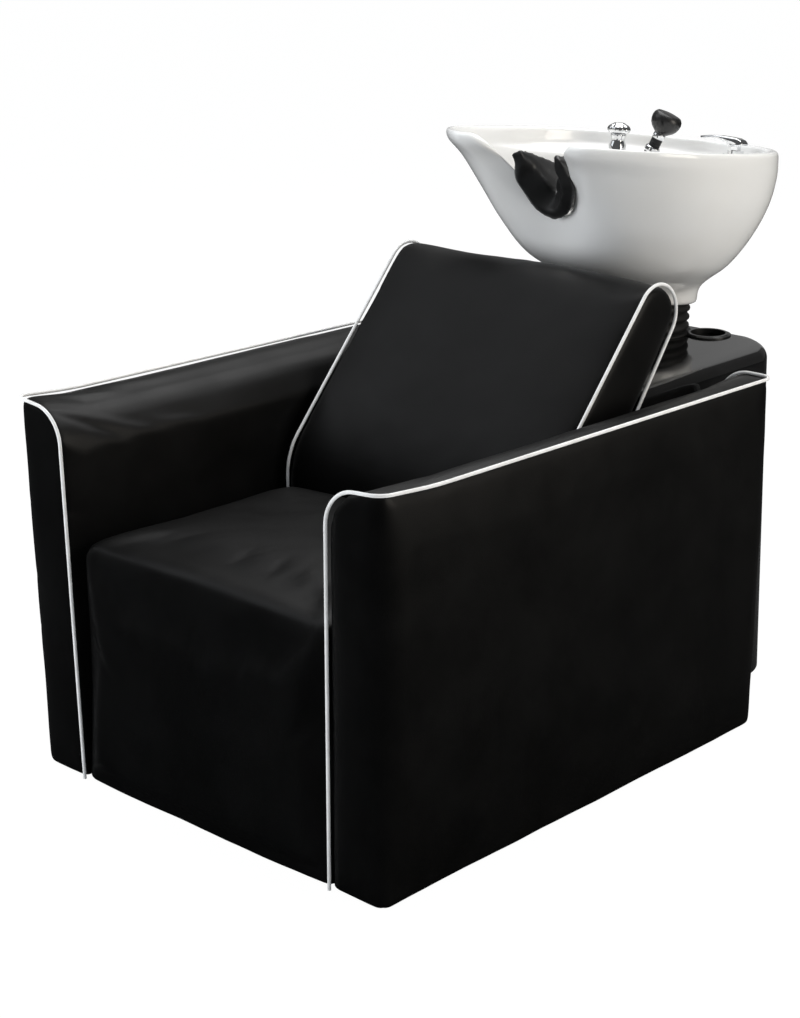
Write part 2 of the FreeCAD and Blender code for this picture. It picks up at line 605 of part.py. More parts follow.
domes = []
for name, side in SIDES:
    strap, bolt_y = bracket(side)
    node(solid(strap), "backrest_bracket_" + name)
    cap = turned([("0", "0"), ("dome_d / 2", "0"), ("dome_d / 2", "dome_height * 0.3"),
                  ("dome_d * 0.42", "dome_height * 0.68"), ("dome_d * 0.25", "dome_height * 0.92"),
                  ("0", "dome_height")])
    domes.append(put(cap, "%d * bracket_offset" % side, "%.3f" % bolt_y, "tray_top + bracket_thick"))
node(group(*domes), "bracket_dome_bolts")

# Column: base plate on the rails, tube and top flange.
TILT_Y = "front_at + tilt_y"
PLATE_Z = "floor_gap + rail_height"
wide_plate = box("house_width - 2 * house_wall - 2 * seam_clear", "plate_wing_depth", "plate_thick",
                 "house_wall + seam_clear - house_width / 2",
                 TILT_Y + " - plate_depth / 2 - plate_wing_depth / 2", PLATE_Z)
column_plate = box("2 * rail_offset + rail_width", "plate_depth", "plate_thick",
                   "-rail_offset - rail_width / 2", TILT_Y + " - plate_depth / 2", PLATE_Z)
column_tube = cut(rod("column_d / 2", "column_top - (%s)" % PLATE_Z, "0", TILT_Y, PLATE_Z),
                  rod("column_d / 2 - column_wall", "column_top", "0", TILT_Y, PLATE_Z + " + plate_thick"))
column_flange = cut(rod("flange_d / 2", "plate_thick", "0", TILT_Y, "column_top - plate_thick"),
                    rod("column_d / 2 - column_wall", "column_top", "0", TILT_Y, PLATE_Z + " + plate_thick"))


def clevis_bolt_rods(radius, length, base):
    return [rod(radius, length, "%s * clevis_bolt_x" % side, TILT_Y + " + %s * clevis_bolt_y" % end, base)
            for side in ("-1", "1") for end in ("-1", "1")]


node(cut(fuse(wide_plate, column_plate, column_tube, column_flange),
         *clevis_bolt_rods("clevis_bolt_d / 2", "4 * plate_thick", "column_top - 2 * plate_thick")), "column")

# Tilt joint: a clevis on the column, a pin with nuts, and friction washers.
EAR_TOP = "tilt_z - column_top - plate_thick"
clevis_base = box("clevis_width", "clevis_length", "plate_thick", "-clevis_width / 2",
                  TILT_Y + " - clevis_length / 2", "column_top")


def ear_pair(inner, thick, foot, height):
    """Two upright ears with round ends at the tilt axis."""
    pieces = []
    for x in (inner, "-(%s) - (%s)" % (inner, thick)):
        pieces.append(box(thick, "2 * ear_r", height, x, TILT_Y + " - ear_r", foot))
        pieces.append(rod("ear_r", thick, x, TILT_Y, "tilt_z", "x"))
    return pieces


pin_hole = rod("pin_d / 2 + pin_clear", "4 * clevis_width", "-2 * clevis_width", TILT_Y, "tilt_z", "x")
node(cut(fuse(clevis_base, *ear_pair("ear_inner", "ear_thick", "column_top + plate_thick", EAR_TOP)), pin_hole,
         *clevis_bolt_rods("clevis_bolt_d / 2", "4 * plate_thick", "column_top - plate_thick")), "tilt_clevis")
PIN_HALF = "ear_inner + ear_thick + nut_thick + pin_end"
node(rod("pin_d / 2", "2 * (%s)" % PIN_HALF, "-(%s)" % PIN_HALF, TILT_Y, "tilt_z", "x"), "tilt_pin")


def collars(inner, thick, radius):
    """Pair of rings on the tilt pin."""
    return [cut(rod(radius, thick, x, TILT_Y, "tilt_z", "x"),
                rod("pin_d / 2 + pin_clear", "4 * clevis_width", "-2 * clevis_width", TILT_Y, "tilt_z", "x"))
            for x in (inner, "-(%s) - (%s)" % (inner, thick))]


node(group(*collars("ear_inner + ear_thick", "nut_thick", "nut_d / 2")), "tilt_nuts")
WASHER_X = "ear_inner - side_play - washer_thick"
node(group(*collars(WASHER_X, "washer_thick", "washer_d / 2")), "friction_washers")
bolt_heads = clevis_bolt_rods("clevis_bolt_d * 0.8", "clevis_bolt_d * 0.6", "column_top + plate_thick")
bolt_shanks = clevis_bolt_rods("clevis_bolt_d / 2", "3 * plate_thick", "column_top - 2 * plate_thick")
node(group(*[fuse(head, shank) for head, shank in zip(bolt_heads, bolt_shanks)]), "clevis_bolts")

# Bowl: lofted outside and basin, hollow rear under the tap deck, neck notch and round foot.
AXIS = FreeCAD.Vector(0, value(TILT_Y), value("tilt_z"))
LEAN = FreeCAD.Placement(AXIS, FreeCAD.Rotation(FreeCAD.Vector(1, 0, 0), -value("rest_tilt")))


def leant(obj, label):
    """Node on the bowl: made in the bowl's level frame, then leant back about the tilt axis."""
    obj.Placement = LEAN.multiply(obj.Placement)
    return node(obj, label)


RIM, HALF, FRONT, REAR = [value(word) for word in ("bowl_rim", "bowl_half_width", "-bowl_front", "bowl_rear")]
POWER = value("bowl_roundness")
FOOT_R, FOOT_BASE, FLOOR, DECK = [value(word) for word in ("foot_r", "foot_base", "bowl_floor", "deck_level")]
LIP = value("bowl_lip")
RISE = RIM - FOOT_BASE

# Each stage of the outside: share of the rise, of the half width, of the front and of the rear reach.
OUTSIDE = [(0.0, 0.0, 0.0, 0.0), (0.10, 0.02, 0.01, 0.02), (0.16, 0.13, 0.16, 0.35), (0.26, 0.38, 0.36, 0.68),
           (0.45, 0.66, 0.56, 0.90), (0.67, 0.88, 0.76, 1.0), (0.86, 0.98, 0.90, 1.02), (1.0, 1.0, 1.0, 1.0)]


def outside_stage(rise, wide, ahead, behind, inset=0.0):
    """One level ring of the bowl's outside."""
    half = FOOT_R + (HALF - FOOT_R) * wide - inset
    front = -FOOT_R + (FRONT + FOOT_R) * ahead + inset
    rear = FOOT_R + (REAR - FOOT_R) * behind - inset
    widest = (front + rear) / 2 - (FRONT + REAR) * 0.04 * ahead
    level = FOOT_BASE + RISE * rise
    return ring_wire(level, half, front, rear, widest, 2 + (POWER - 2) * wide, dish_at(level))


def dish_at(level):
    """How far the front wall is drawn in below the notch, which fades above and below."""
    return value("dish_depth") * math.exp(-((level - value("dish_level")) / value("dish_reach")) ** 2)


def front_reach(level):
    """How far forward the outside reaches at a level, between two of its stages."""
    share = (level - FOOT_BASE) / RISE
    low, high = next(pair for pair in zip(OUTSIDE, OUTSIDE[1:]) if pair[1][0] >= share)
    ahead = low[2] + (high[2] - low[2]) * (share - low[0]) / (high[0] - low[0])
    return -FOOT_R + (FRONT + FOOT_R) * ahead + dish_at(level)


def basin_stage(level, wide, ahead, rear):
    """One level ring of the basin's inside."""
    half = (HALF - LIP) * wide
    front = (FRONT + LIP) * ahead
    widest = front * 0.42 + rear * 0.58
    return ring_wire(level, half, front, rear, widest, 2 + (POWER - 2) * wide, dish_at(level))


def bowl_shape():
    outside = Part.makeLoft([outside_stage(*stage) for stage in OUTSIDE], True, False)
    top = max(outside.Edges, key=lambda edge: edge.BoundBox.ZMin)
    outside = outside.makeFillet(value("bowl_lip_r"), [top])
    deck_edge = -value("deck_front")
    depth = DECK - FLOOR
    recess_wire = outside_stage(*OUTSIDE[-1], LIP)
    recess_wire.translate(FreeCAD.Vector(0, 0, DECK - RIM))
    recess = Part.Face(recess_wire).extrude(FreeCAD.Vector(0, 0, RIM))
    behind = Part.makeBox(4 * HALF, 4 * HALF, 4 * RIM, FreeCAD.Vector(-2 * HALF, (FRONT + REAR) / 2, 0))
    recess = recess.common(behind)
    basin = Part.makeLoft([basin_stage(RIM + LIP / 8, 1.0, 1.0, deck_edge),
                           basin_stage(FLOOR + depth * 0.66, 0.87, 0.79, deck_edge - LIP / 4),
                           basin_stage(FLOOR + depth * 0.33, 0.69, 0.61, deck_edge + LIP / 8),
                           basin_stage(FLOOR + depth * 0.11, 0.45, 0.42, deck_edge + LIP),
                           basin_stage(FLOOR, 0.24, 0.24, deck_edge + 2 * LIP)], True, False)
    under = DECK - value("deck_thick")
    hollow = tap_pocket(under)
    foot_bore = Part.makeCylinder(value("foot_bore_r"), value("foot_roof"))
    drain = Part.makeCylinder(value("drain_r + fit_clear"), 2 * FLOOR, FreeCAD.Vector(0, value("drain_y"), 0))
    notch = notch_prism(0, 2 * RIM, value("notch_shoulder_r"))
    shape = outside.cut([recess, basin, hollow, foot_bore, drain, notch])
    taps = [tap_rod("mixer_x", "tap_shank_r + fit_clear"), tap_rod("breaker_x", "breaker_neck_r + fit_clear"),
            spray_rod(value("guide_r + fit_clear"), -SPRAY_REACH, SPRAY_REACH)]
    return shape.cut(taps)


def tap_rod(x, radius):
    """Upright hole through the tap deck."""
    start = value("tap_shank_end")
    return Part.makeCylinder(value(radius), RIM - start, FreeCAD.Vector(value(x), value("tap_row"), start))


def pocket_wire(level, half, front, rear, corner):
    """Level outline of the pocket: a rectangle with round corners."""
    bend = corner * (1 - math.sqrt(0.5))
    at = lambda x, y: FreeCAD.Vector(x, y, level)
    edges = []
    for sign_x, sign_y in ((1, -1), (1, 1), (-1, 1), (-1, -1)):
        x, y = sign_x * half, rear if sign_y > 0 else front
        ends = [at(x - sign_x * corner, y), at(x, y - sign_y * corner)]
        if sign_x * sign_y > 0:
            ends.reverse()
        if edges:
            edges.append(Part.makeLine(edges[-1].Vertexes[-1].Point, ends[0]))
        edges.append(Part.Arc(ends[0], at(x - sign_x * bend, y - sign_y * bend), ends[1]).toShape())
    edges.append(Part.makeLine(edges[-1].Vertexes[-1].Point, edges[0].Vertexes[0].Point))
    return Part.Wire(edges)


def tap_pocket(top):
    """Hollow under the tap deck, open to the foot, for the taps' shanks and the spray hose."""
    corner = value("pocket_corner_r")
    foot = [value("pocket_foot_half"), value("pocket_foot_front"), value("pocket_foot_rear")]
    wide = [value("pocket_half"), value("pocket_front"), value("pocket_rear")]
    base, neck = value("pocket_base"), value("pocket_neck")
    wires = [pocket_wire(base, *foot, corner / 2), pocket_wire(neck, *foot, corner / 2),
             pocket_wire((top + neck) / 2, *wide, corner), pocket_wire(top, *wide, corner)]
    return Part.makeLoft(wires, True, True)


def notch_outline(inset, top, shoulder=0.0):
    """V with a round base and, up to the rim, round shoulders, in the upright plane across the bowl."""
    flare = math.radians(value("notch_flare"))
    radius = value("notch_r") - inset
    centre = value("notch_base + notch_r")
    at = lambda x, z: FreeCAD.Vector(x, 0, z)
    touch_x, touch_z = radius * math.cos(flare), centre - radius * math.sin(flare)
    arc = Part.Arc(at(-touch_x, touch_z), at(0, centre - radius), at(touch_x, touch_z)).toShape()
    edge_x = touch_x + (top - touch_z) * math.tan(flare)
    if not shoulder:
        return Part.Wire([arc, Part.makeLine(at(touch_x, touch_z), at(edge_x, top)),
                          Part.makeLine(at(edge_x, top), at(-edge_x, top)),
                          Part.makeLine(at(-edge_x, top), at(-touch_x, touch_z))])
    bend_z = RIM - shoulder
    bend_x = touch_x + (shoulder + (bend_z - touch_z) * math.sin(flare)) / math.cos(flare)
    turns = [flare, (flare + math.pi / 2) / 2, math.pi / 2]
    right = [at(bend_x - shoulder * math.cos(turn), bend_z + shoulder * math.sin(turn)) for turn in turns]
    left = [at(-point.x, point.z) for point in right]
    return Part.Wire([arc, Part.makeLine(at(touch_x, touch_z), right[0]), Part.Arc(*right).toShape(),
                      Part.makeLine(right[2], at(bend_x, top)),
                      Part.makeLine(at(bend_x, top), at(-bend_x, top)),
                      Part.makeLine(at(-bend_x, top), left[2]), Part.Arc(*reversed(left)).toShape(),
                      Part.makeLine(left[0], at(-touch_x, touch_z))])


def notch_prism(inset, top, shoulder=0.0):
    """Notch outline carried through the bowl's front wall."""
    face = Part.Face(notch_outline(inset, top, shoulder))
    face.translate(FreeCAD.Vector(0, 2 * FRONT, 0))
    return face.extrude(FreeCAD.Vector(0, -1.5 * FRONT, 0))


def spray_rod(radius, start, end):
    """Bar along the leaning axis of the spray, measured from the deck."""
    return Part.makeCylinder(radius, end - start, SPRAY_AT + SPRAY_AXIS * start, SPRAY_AXIS)


SPRAY_AT = FreeCAD.Vector(value("spray_x"), value("tap_row"), DECK)
SPRAY_REACH = value("head_at + head_length")
lean, turn = math.radians(value("spray_lean")), math.radians(value("spray_turn"))
SPRAY_AXIS = FreeCAD.Vector(math.cos(turn), math.sin(turn), 0) * math.sin(lean)
SPRAY_AXIS = SPRAY_AXIS + FreeCAD.Vector(0, 0, math.cos(lean))
bowl = bowl_shape()
foot_bolts = [(side * value(x), value(y)) for side in (1, -1)
              for x, y in (("foot_bolt_x", "foot_bolt_y"), ("foot_bolt_front_x", "-foot_bolt_front_y"))]


def foot_bolt_rods(radius, start, length):
    return [Part.makeCylinder(radius, length, FreeCAD.Vector(x, y, start)) for x, y in foot_bolts]


ROOF, PLATE = value("foot_roof"), value("foot_plate_thick")
bolt_r, bolt_length = value("foot_bolt_d / 2"), value("foot_bolt_length")
bolt_gap = value("foot_bolt_clear")
leant(solid(bowl.cut(foot_bolt_rods(bolt_r + bolt_gap, ROOF - PLATE, PLATE + bolt_length + bolt_gap))), "bowl")

# Foot plate: a disc under the bowl with two ears between the clevis's washers.
ear_x = value("ear_inner - 2 * side_play - washer_thick - ear_thick")
plate = Part.makeCylinder(value("foot_plate_r"), PLATE, FreeCAD.Vector(0, 0, ROOF - PLATE))
ear_r, ear_t = value("ear_r"), value("ear_thick")
ACROSS_X = FreeCAD.Vector(1, 0, 0)
for x in (ear_x, -ear_x - ear_t):
    plate = plate.fuse(Part.makeBox(ear_t, 2 * ear_r, ROOF - PLATE, FreeCAD.Vector(x, -ear_r, 0)))
    plate = plate.fuse(Part.makeCylinder(ear_r, ear_t, ACROSS_X * x, ACROSS_X))
cross = Part.makeCylinder(value("pin_d / 2 + pin_clear"), 2 * HALF, ACROSS_X * -HALF, ACROSS_X)
drain_at = FreeCAD.Vector(0, value("drain_y"), 0)
drain_gap = Part.makeCylinder(value("drain_nut_r + drain_nut_room"), ROOF, drain_at)
plate = plate.cut([cross, drain_gap] + foot_bolt_rods(bolt_r, ROOF - 2 * PLATE, 3 * PLATE)).removeSplitter()
leant(solid(plate), "foot_plate")
leant(solid(Part.makeCompound([head.fuse(shank) for head, shank in zip(
    foot_bolt_rods(1.7 * bolt_r, ROOF - PLATE - bolt_r, bolt_r),
    foot_bolt_rods(bolt_r, ROOF - PLATE, PLATE + bolt_length))])), "foot_plate_bolts")

# Drain: flanged tail through the basin floor, strainer disc and nut.
TAIL = "drain_r - drain_wall"
drain = turned([(TAIL, "drain_end"), ("drain_r", "drain_end"), ("drain_r", "bowl_floor"),
                ("drain_flange_r", "bowl_floor"), ("drain_flange_r", "bowl_floor + drain_wall"),
                (TAIL, "bowl_floor + drain_wall")])
drain.Placement.Base.y = value("drain_y")
leant(drain, "drain_body")
DRAIN_AT = FreeCAD.Vector(0, value("drain_y"), FLOOR)
sieve = Part.makeCylinder(value("drain_r - drain_wall - seam_clear"), value("strainer_thick"), DRAIN_AT)
sieve_holes = []
for step in range(6):
    around = FreeCAD.Vector(math.cos(math.pi * step / 3), math.sin(math.pi * step / 3), -1)
    sieve_holes.append(Part.makeCylinder(value("strainer_hole_d / 2"), 2 * value("strainer_ring_r"),
                                         DRAIN_AT + around * value("strainer_ring_r")))
leant(solid(sieve.cut(sieve_holes)), "drain_strainer")


def washer_nut(x, y, top, thick, radius, bore):
    place = FreeCAD.Vector(x, y, top - thick)
    hole = Part.makeCylinder(bore, 3 * thick, place - FreeCAD.Vector(0, 0, thick))
    return Part.makeCylinder(radius, thick, place).cut(hole)


leant(solid(washer_nut(0, value("drain_y"), ROOF, value("drain_nut_thick"), value("drain_nut_r"),
                       value("drain_r + pin_clear"))), "drain_nut")

# Neck rest: gel saddle that lines the notch and follows the slope of the front wall.
outer = notch_prism(value("rest_clear"), value("rest_top"))
saddle = outer.cut(notch_prism(value("rest_thick"), RIM))
wall_low = front_reach(value("notch_base"))
wall_lean = math.atan2(wall_low - FRONT, value("bowl_rim - notch_base"))
slab = Part.makeBox(4 * HALF, value("rest_depth"), 4 * RIM,
                    FreeCAD.Vector(-2 * HALF, -value("rest_front"), -2 * RIM))
slab.rotate(FreeCAD.Vector(0, 0, 0), FreeCAD.Vector(1, 0, 0), math.degrees(wall_lean))
slab.translate(FreeCAD.Vector(0, wall_low, value("notch_base")))
leant(solid(saddle.common(slab)), "neck_rest")

# Mixer tap: flanged body, swivelling cap with a lug, lever, its pin and the nut under the deck.
UNDER = DECK - value("deck_thick")
mixer = turned([("0", "tap_shank_end"), ("tap_shank_r", "tap_shank_end"), ("tap_shank_r", "deck_level"),
                ("mixer_r + flange_thick", "deck_level"),
                ("mixer_r + flange_thick", "deck_level + flange_thick / 2"),
                ("mixer_r", "deck_level + flange_thick"), ("mixer_r", "mixer_top - flange_thick / 2"),
                ("mixer_r - flange_thick / 2", "mixer_top"), ("0", "mixer_top")])
mixer.Placement.Base = FreeCAD.Vector(value("mixer_x"), value("tap_row"), 0)
leant(mixer, "mixer_body")
LEVER_AT = FreeCAD.Vector(value("mixer_x"), value("tap_row"), value("lever_axis"))
MIXER_TOP = value("mixer_top")
lug_half = value("lug_width / 2")
ACROSS = FreeCAD.Vector(0, 1, 0)


def cross_rod(radius, half):
    """Bar across the tap on the lever's axis."""
    return Part.makeCylinder(radius, 2 * half, LEVER_AT - ACROSS * half, ACROSS)


cap_gap = value("rest_clear")
lug_r, lever_pin_r = value("lug_length / 2"), value("lever_pin_r")
pin_half = value("lever_width / 2 - lever_pin_short")
CAP_BASE = MIXER_TOP + cap_gap
cap = Part.makeCylinder(value("cap_r"), value("cap_thick"), FreeCAD.Vector(LEVER_AT.x, LEVER_AT.y, CAP_BASE))
cap = cap.fuse(Part.makeBox(2 * lug_r, 2 * lug_half, LEVER_AT.z - CAP_BASE,
                            FreeCAD.Vector(LEVER_AT.x - lug_r, LEVER_AT.y - lug_half, CAP_BASE)))
cap = cap.fuse(cross_rod(lug_r, lug_half)).cut(cross_rod(lever_pin_r + value("pin_clear"), 2 * lug_half))
leant(solid(cap.removeSplitter()), "mixer_cap")
leant(solid(cross_rod(lever_pin_r, pin_half)), "lever_pin")


def lever_shape():
    """Curved blade with a hood over the lug; the tip points to the middle of the bowl."""
    reach, hood, rise, tip = [value("lever_" + word) for word in ("reach", "hood", "rise", "tip")]
    x, z = LEVER_AT.x, LEVER_AT.z
    top = Part.BSplineCurve()
    top.interpolate([FreeCAD.Vector(px, 0, pz) for px, pz in (
        (x + hood, z - 0.4 * rise), (x + 0.7 * hood, z + 0.6 * rise), (x, z + rise),
        (x - 0.45 * reach, z + 1.15 * rise), (x - reach, z + 0.8 * rise))])
    under = Part.BSplineCurve()
    under.interpolate([FreeCAD.Vector(px, 0, pz) for px, pz in (
        (x - reach, z + 0.8 * rise - tip), (x - 0.5 * reach, z + 0.5 * rise),
        (x - 0.85 * hood, z + 0.1 * rise), (x - 0.6 * hood, z - 0.5 * rise))])
    wire = Part.Wire([top.toShape(), Part.makeLine(top.EndPoint, under.StartPoint), under.toShape(),
                      Part.makeLine(under.EndPoint, top.StartPoint)])
    half = value("lever_width / 2")
    blade = Part.Face(wire).extrude(FreeCAD.Vector(0, 2 * half, 0))
    blade.translate(FreeCAD.Vector(0, LEVER_AT.y - half, 0))
    slot_r, slot_half = lug_r + value("lug_swing"), lug_half + cap_gap
    slot = Part.makeBox(2 * slot_r, 2 * slot_half, z - MIXER_TOP,
                        FreeCAD.Vector(x - slot_r, LEVER_AT.y - slot_half, MIXER_TOP))
    hood_bore = cross_rod(lug_r + value("lug_swing / 2"), slot_half)
    return blade.cut([slot, hood_bore, cross_rod(lever_pin_r, pin_half)])


leant(solid(lever_shape()), "mixer_lever")
NUT_THICK = value("tap_nut_thick")
leant(solid(washer_nut(LEVER_AT.x, LEVER_AT.y, UNDER, NUT_THICK, value("tap_nut_r"),
                       value("tap_shank_r + pin_clear"))), "mixer_nut")

# Vacuum breaker: waisted body, mushroom cap and nut.
breaker = turned([("0", "tap_shank_end"), ("breaker_neck_r", "tap_shank_end"), ("breaker_neck_r", "deck_level"),
                  ("breaker_r + flange_thick", "deck_level"),
                  ("breaker_r + flange_thick", "deck_level + flange_thick"),
                  ("breaker_r", "deck_level + flange_thick"), ("breaker_r", "deck_level + 4 * flange_thick"),
                  ("breaker_neck_r", "deck_level + 6 * flange_thick"), ("breaker_neck_r", "breaker_neck"),
                  ("0", "breaker_neck")])
CAP_RISE = "(breaker_top - breaker_neck)"
mushroom = turned([("0", "breaker_neck"), ("breaker_cap_r * 0.85", "breaker_neck"),
                   ("breaker_cap_r", "breaker_neck + %s * 0.17" % CAP_RISE),
                   ("breaker_cap_r", "breaker_neck + %s * 0.45" % CAP_RISE),
                   ("breaker_cap_r * 0.85", "breaker_neck + %s * 0.72" % CAP_RISE),
                   ("breaker_cap_r * 0.55", "breaker_neck + %s * 0.94" % CAP_RISE), ("0", "breaker_top")])
for body, label in ((breaker, "vacuum_breaker_body"), (mushroom, "vacuum_breaker_cap")):
    body.Placement.Base = FreeCAD.Vector(value("breaker_x"), value("tap_row"), 0)
    leant(body, label)
leant(solid(washer_nut(value("breaker_x"), value("tap_row"), UNDER, NUT_THICK, value("breaker_nut_r"),
                       value("breaker_neck_r + pin_clear"))), "breaker_nut")

# Hand spray: guide in the deck, hose, boot, collar, bell-shaped head and its face.
HOSE_R, GUIDE_R = value("hose_r"), value("guide_r")
GUIDE_TOP, COLLAR_AT = value("guide_top"), value("collar_at")
rosette = Part.makeCone(value("rosette_r"), value("rosette_top_r"), value("flange_thick"), SPRAY_AT)
hose_bore = spray_rod(HOSE_R + value("hose_clear"), -SPRAY_REACH, SPRAY_REACH)
guide = spray_rod(GUIDE_R, -value("guide_tail"), GUIDE_TOP).fuse(rosette).cut(hose_bore)
leant(solid(guide.removeSplitter()), "spray_guide")
nut = Part.makeCylinder(value("tap_nut_r"), NUT_THICK,
                        FreeCAD.Vector(SPRAY_AT.x, SPRAY_AT.y, UNDER - NUT_THICK))
leant(solid(nut.cut(spray_rod(GUIDE_R + value("pin_clear"), -SPRAY_REACH, SPRAY_REACH))), "guide_nut")
leant(solid(spray_rod(HOSE_R, -value("hose_tail"), COLLAR_AT)), "spray_hose")
boot_bore = spray_rod(HOSE_R + value("pin_clear"), -SPRAY_REACH, SPRAY_REACH)
leant(solid(spray_rod(value("boot_r"), GUIDE_TOP + cap_gap, COLLAR_AT).cut(boot_bore)), "spray_boot")
AIM = FreeCAD.Rotation(FreeCAD.Vector(0, 0, 1), SPRAY_AXIS)
collar = turned([("0", "collar_at"), ("collar_r * 0.9", "collar_at"),
                 ("collar_r", "collar_at + collar_r * 0.2"),
                 ("collar_r", "head_at - collar_r * 0.2"), ("collar_r * 0.9", "head_at"), ("0", "head_at")])
HEAD_END = "head_at + head_length"
head = turned([("0", "head_at"), ("collar_r", "head_at"), ("head_r * 0.62", "head_at + head_length * 0.22"),
               ("head_r * 0.90", "head_at + head_length * 0.45"), ("head_r", "head_at + head_length * 0.68"),
               ("head_r", "head_at + head_length * 0.85"),
               ("head_r - face_inset / 2", HEAD_END + " - face_thick"),
               ("0", HEAD_END + " - face_thick")])
face = turned([("0", HEAD_END + " - face_thick"), ("head_r - face_inset", HEAD_END + " - face_thick"),
               ("head_r - 1.25 * face_inset", HEAD_END), ("0", HEAD_END)])
for body, label in ((collar, "spray_collar"), (head, "spray_head"), (face, "spray_face")):
    body.Placement = FreeCAD.Placement(SPRAY_AT, AIM)
    leant(body, label)

# Bellows: ribbed boot from the tray to the bowl's foot, following the lean of the bowl.


def bellows_shape():
    ribs = int(value("bellows_ribs"))
    radius, depth, flange = value("bellows_r"), value("bellows_depth"), value("bellows_flange")
    low, top = value("tray_top - tilt_z + bellows_seat"), value("foot_base - bellows_seat")

    def ring(share, ring_r):
        """Circle part way up whose plane leans more and more with the bowl."""
        tilt = math.radians(value("rest_tilt")) * share
        height = low + (top - low) * share
        axis = FreeCAD.Vector(0, math.sin(tilt), math.cos(tilt))
        return Part.Wire([Part.makeCircle(ring_r, axis * height, axis)])

    steps = [(0.0, radius + flange), (0.06, radius + flange), (0.07, radius - depth)]
    for rib in range(ribs):
        start = 0.07 + 0.9 * rib / ribs
        span = 0.9 / ribs
        steps += [(start + span * 0.3, radius), (start + span * 0.7, radius), (start + span, radius - depth)]
    steps += [(1.0, radius - depth)]
    skin = Part.makeLoft([ring(share, ring_r) for share, ring_r in steps], True, True)
    bore = Part.makeLoft([ring(-0.1, radius - depth - value("bellows_wall")),
                          ring(1.1, radius - depth - value("bellows_wall"))], True, True)
    return skin.cut(bore)


boot_shape = bellows_shape()
boot_shape.translate(AXIS)
node(solid(boot_shape), "bellows")

doc.recompute()
faults = [obj.Label for obj in doc.Objects if {"Invalid", "Error"} & set(obj.State)]
for label, obj in nodes.items():
    if obj.Shape.isNull() or not obj.Shape.isValid():
        faults.append(label + " shape")
if faults:
    raise SystemExit("failed: " + ", ".join(faults))
os.makedirs("parts", exist_ok=True)
whole = FreeCAD.BoundBox()
for label, obj in nodes.items():
    obj.Shape.exportStep("parts/%s.step" % label)
    whole.add(obj.Shape.BoundBox)
    print("%-26s %d solids %12.0f mm3" % (label, len(obj.Shape.Solids), obj.Shape.Volume))
print(whole)
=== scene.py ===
import json
import logging
import math
from dataclasses import dataclass, field
from enum import Enum
from typing import Callable, Dict, List, Sequence, Tuple, Union

import bmesh
import bpy
from mathutils import Matrix, Vector, kdtree, noise


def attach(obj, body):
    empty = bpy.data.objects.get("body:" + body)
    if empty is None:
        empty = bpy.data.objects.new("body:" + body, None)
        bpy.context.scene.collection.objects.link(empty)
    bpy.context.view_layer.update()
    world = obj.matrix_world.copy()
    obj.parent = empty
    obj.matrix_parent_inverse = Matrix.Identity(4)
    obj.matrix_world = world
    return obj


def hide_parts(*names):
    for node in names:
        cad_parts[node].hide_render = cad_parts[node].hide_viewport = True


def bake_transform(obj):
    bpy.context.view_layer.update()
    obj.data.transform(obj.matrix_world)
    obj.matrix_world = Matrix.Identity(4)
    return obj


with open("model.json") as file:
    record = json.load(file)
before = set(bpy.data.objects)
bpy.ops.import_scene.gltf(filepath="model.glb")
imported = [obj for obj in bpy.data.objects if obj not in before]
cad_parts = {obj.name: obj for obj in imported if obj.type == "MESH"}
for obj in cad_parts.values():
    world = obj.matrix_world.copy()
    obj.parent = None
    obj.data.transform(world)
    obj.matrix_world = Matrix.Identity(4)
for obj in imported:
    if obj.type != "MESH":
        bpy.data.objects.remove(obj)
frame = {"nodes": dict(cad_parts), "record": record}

LOG = logging.getLogger("backwash_unit")
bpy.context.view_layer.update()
Pair = Tuple[float, float]
Triple = Tuple[float, float, float]
Colour = Tuple[float, float, float, float]
Row = Tuple[float, float, float, float]
Stops = Sequence[Tuple[float, Colour]]
Layer = Tuple[float, float, Triple]
MERGE = 1e-6
WEAVE = 0.0075


class Side(Enum):
    """Side of the chair as the sign of its X coordinate."""

    LEFT = -1
    RIGHT = 1

    @property
    def word(self) -> str:
        """Ending of the node names on this side."""
        return self.name.lower()


class Term:
    """A shader socket whose operators add Math nodes."""

    def __init__(self, paint: "Paint", socket: bpy.types.NodeSocket) -> None:
        """Keep a socket and the paint that it belongs to.

        Args:
            paint: Node tree under construction.
            socket: Output socket that carries the value.
        """
        self.paint = paint
        self.socket = socket

    def _math(self, operation: str, first: "Value", second: "Value") -> "Term":
        """Add one Math node.

        Args:
            operation: Name of the Math operation.
            first: Left value.
            second: Right value.

        Returns:
            The result as a term.
        """
        return self.paint.node("ShaderNodeMath", {"operation": operation}, {0: first, 1: second})

    def __add__(self, other: "Value") -> "Term":
        """Sum."""
        return self._math("ADD", self, other)

    def __radd__(self, other: "Value") -> "Term":
        """Sum, number first."""
        return self._math("ADD", other, self)

    def __sub__(self, other: "Value") -> "Term":
        """Difference."""
        return self._math("SUBTRACT", self, other)

    def __rsub__(self, other: "Value") -> "Term":
        """Difference, number first."""
        return self._math("SUBTRACT", other, self)

    def __mul__(self, other: "Value") -> "Term":
        """Product."""
        return self._math("MULTIPLY", self, other)

    def __rmul__(self, other: "Value") -> "Term":
        """Product, number first."""
        return self._math("MULTIPLY", other, self)


Value = Union[Term, float, Sequence[float]]


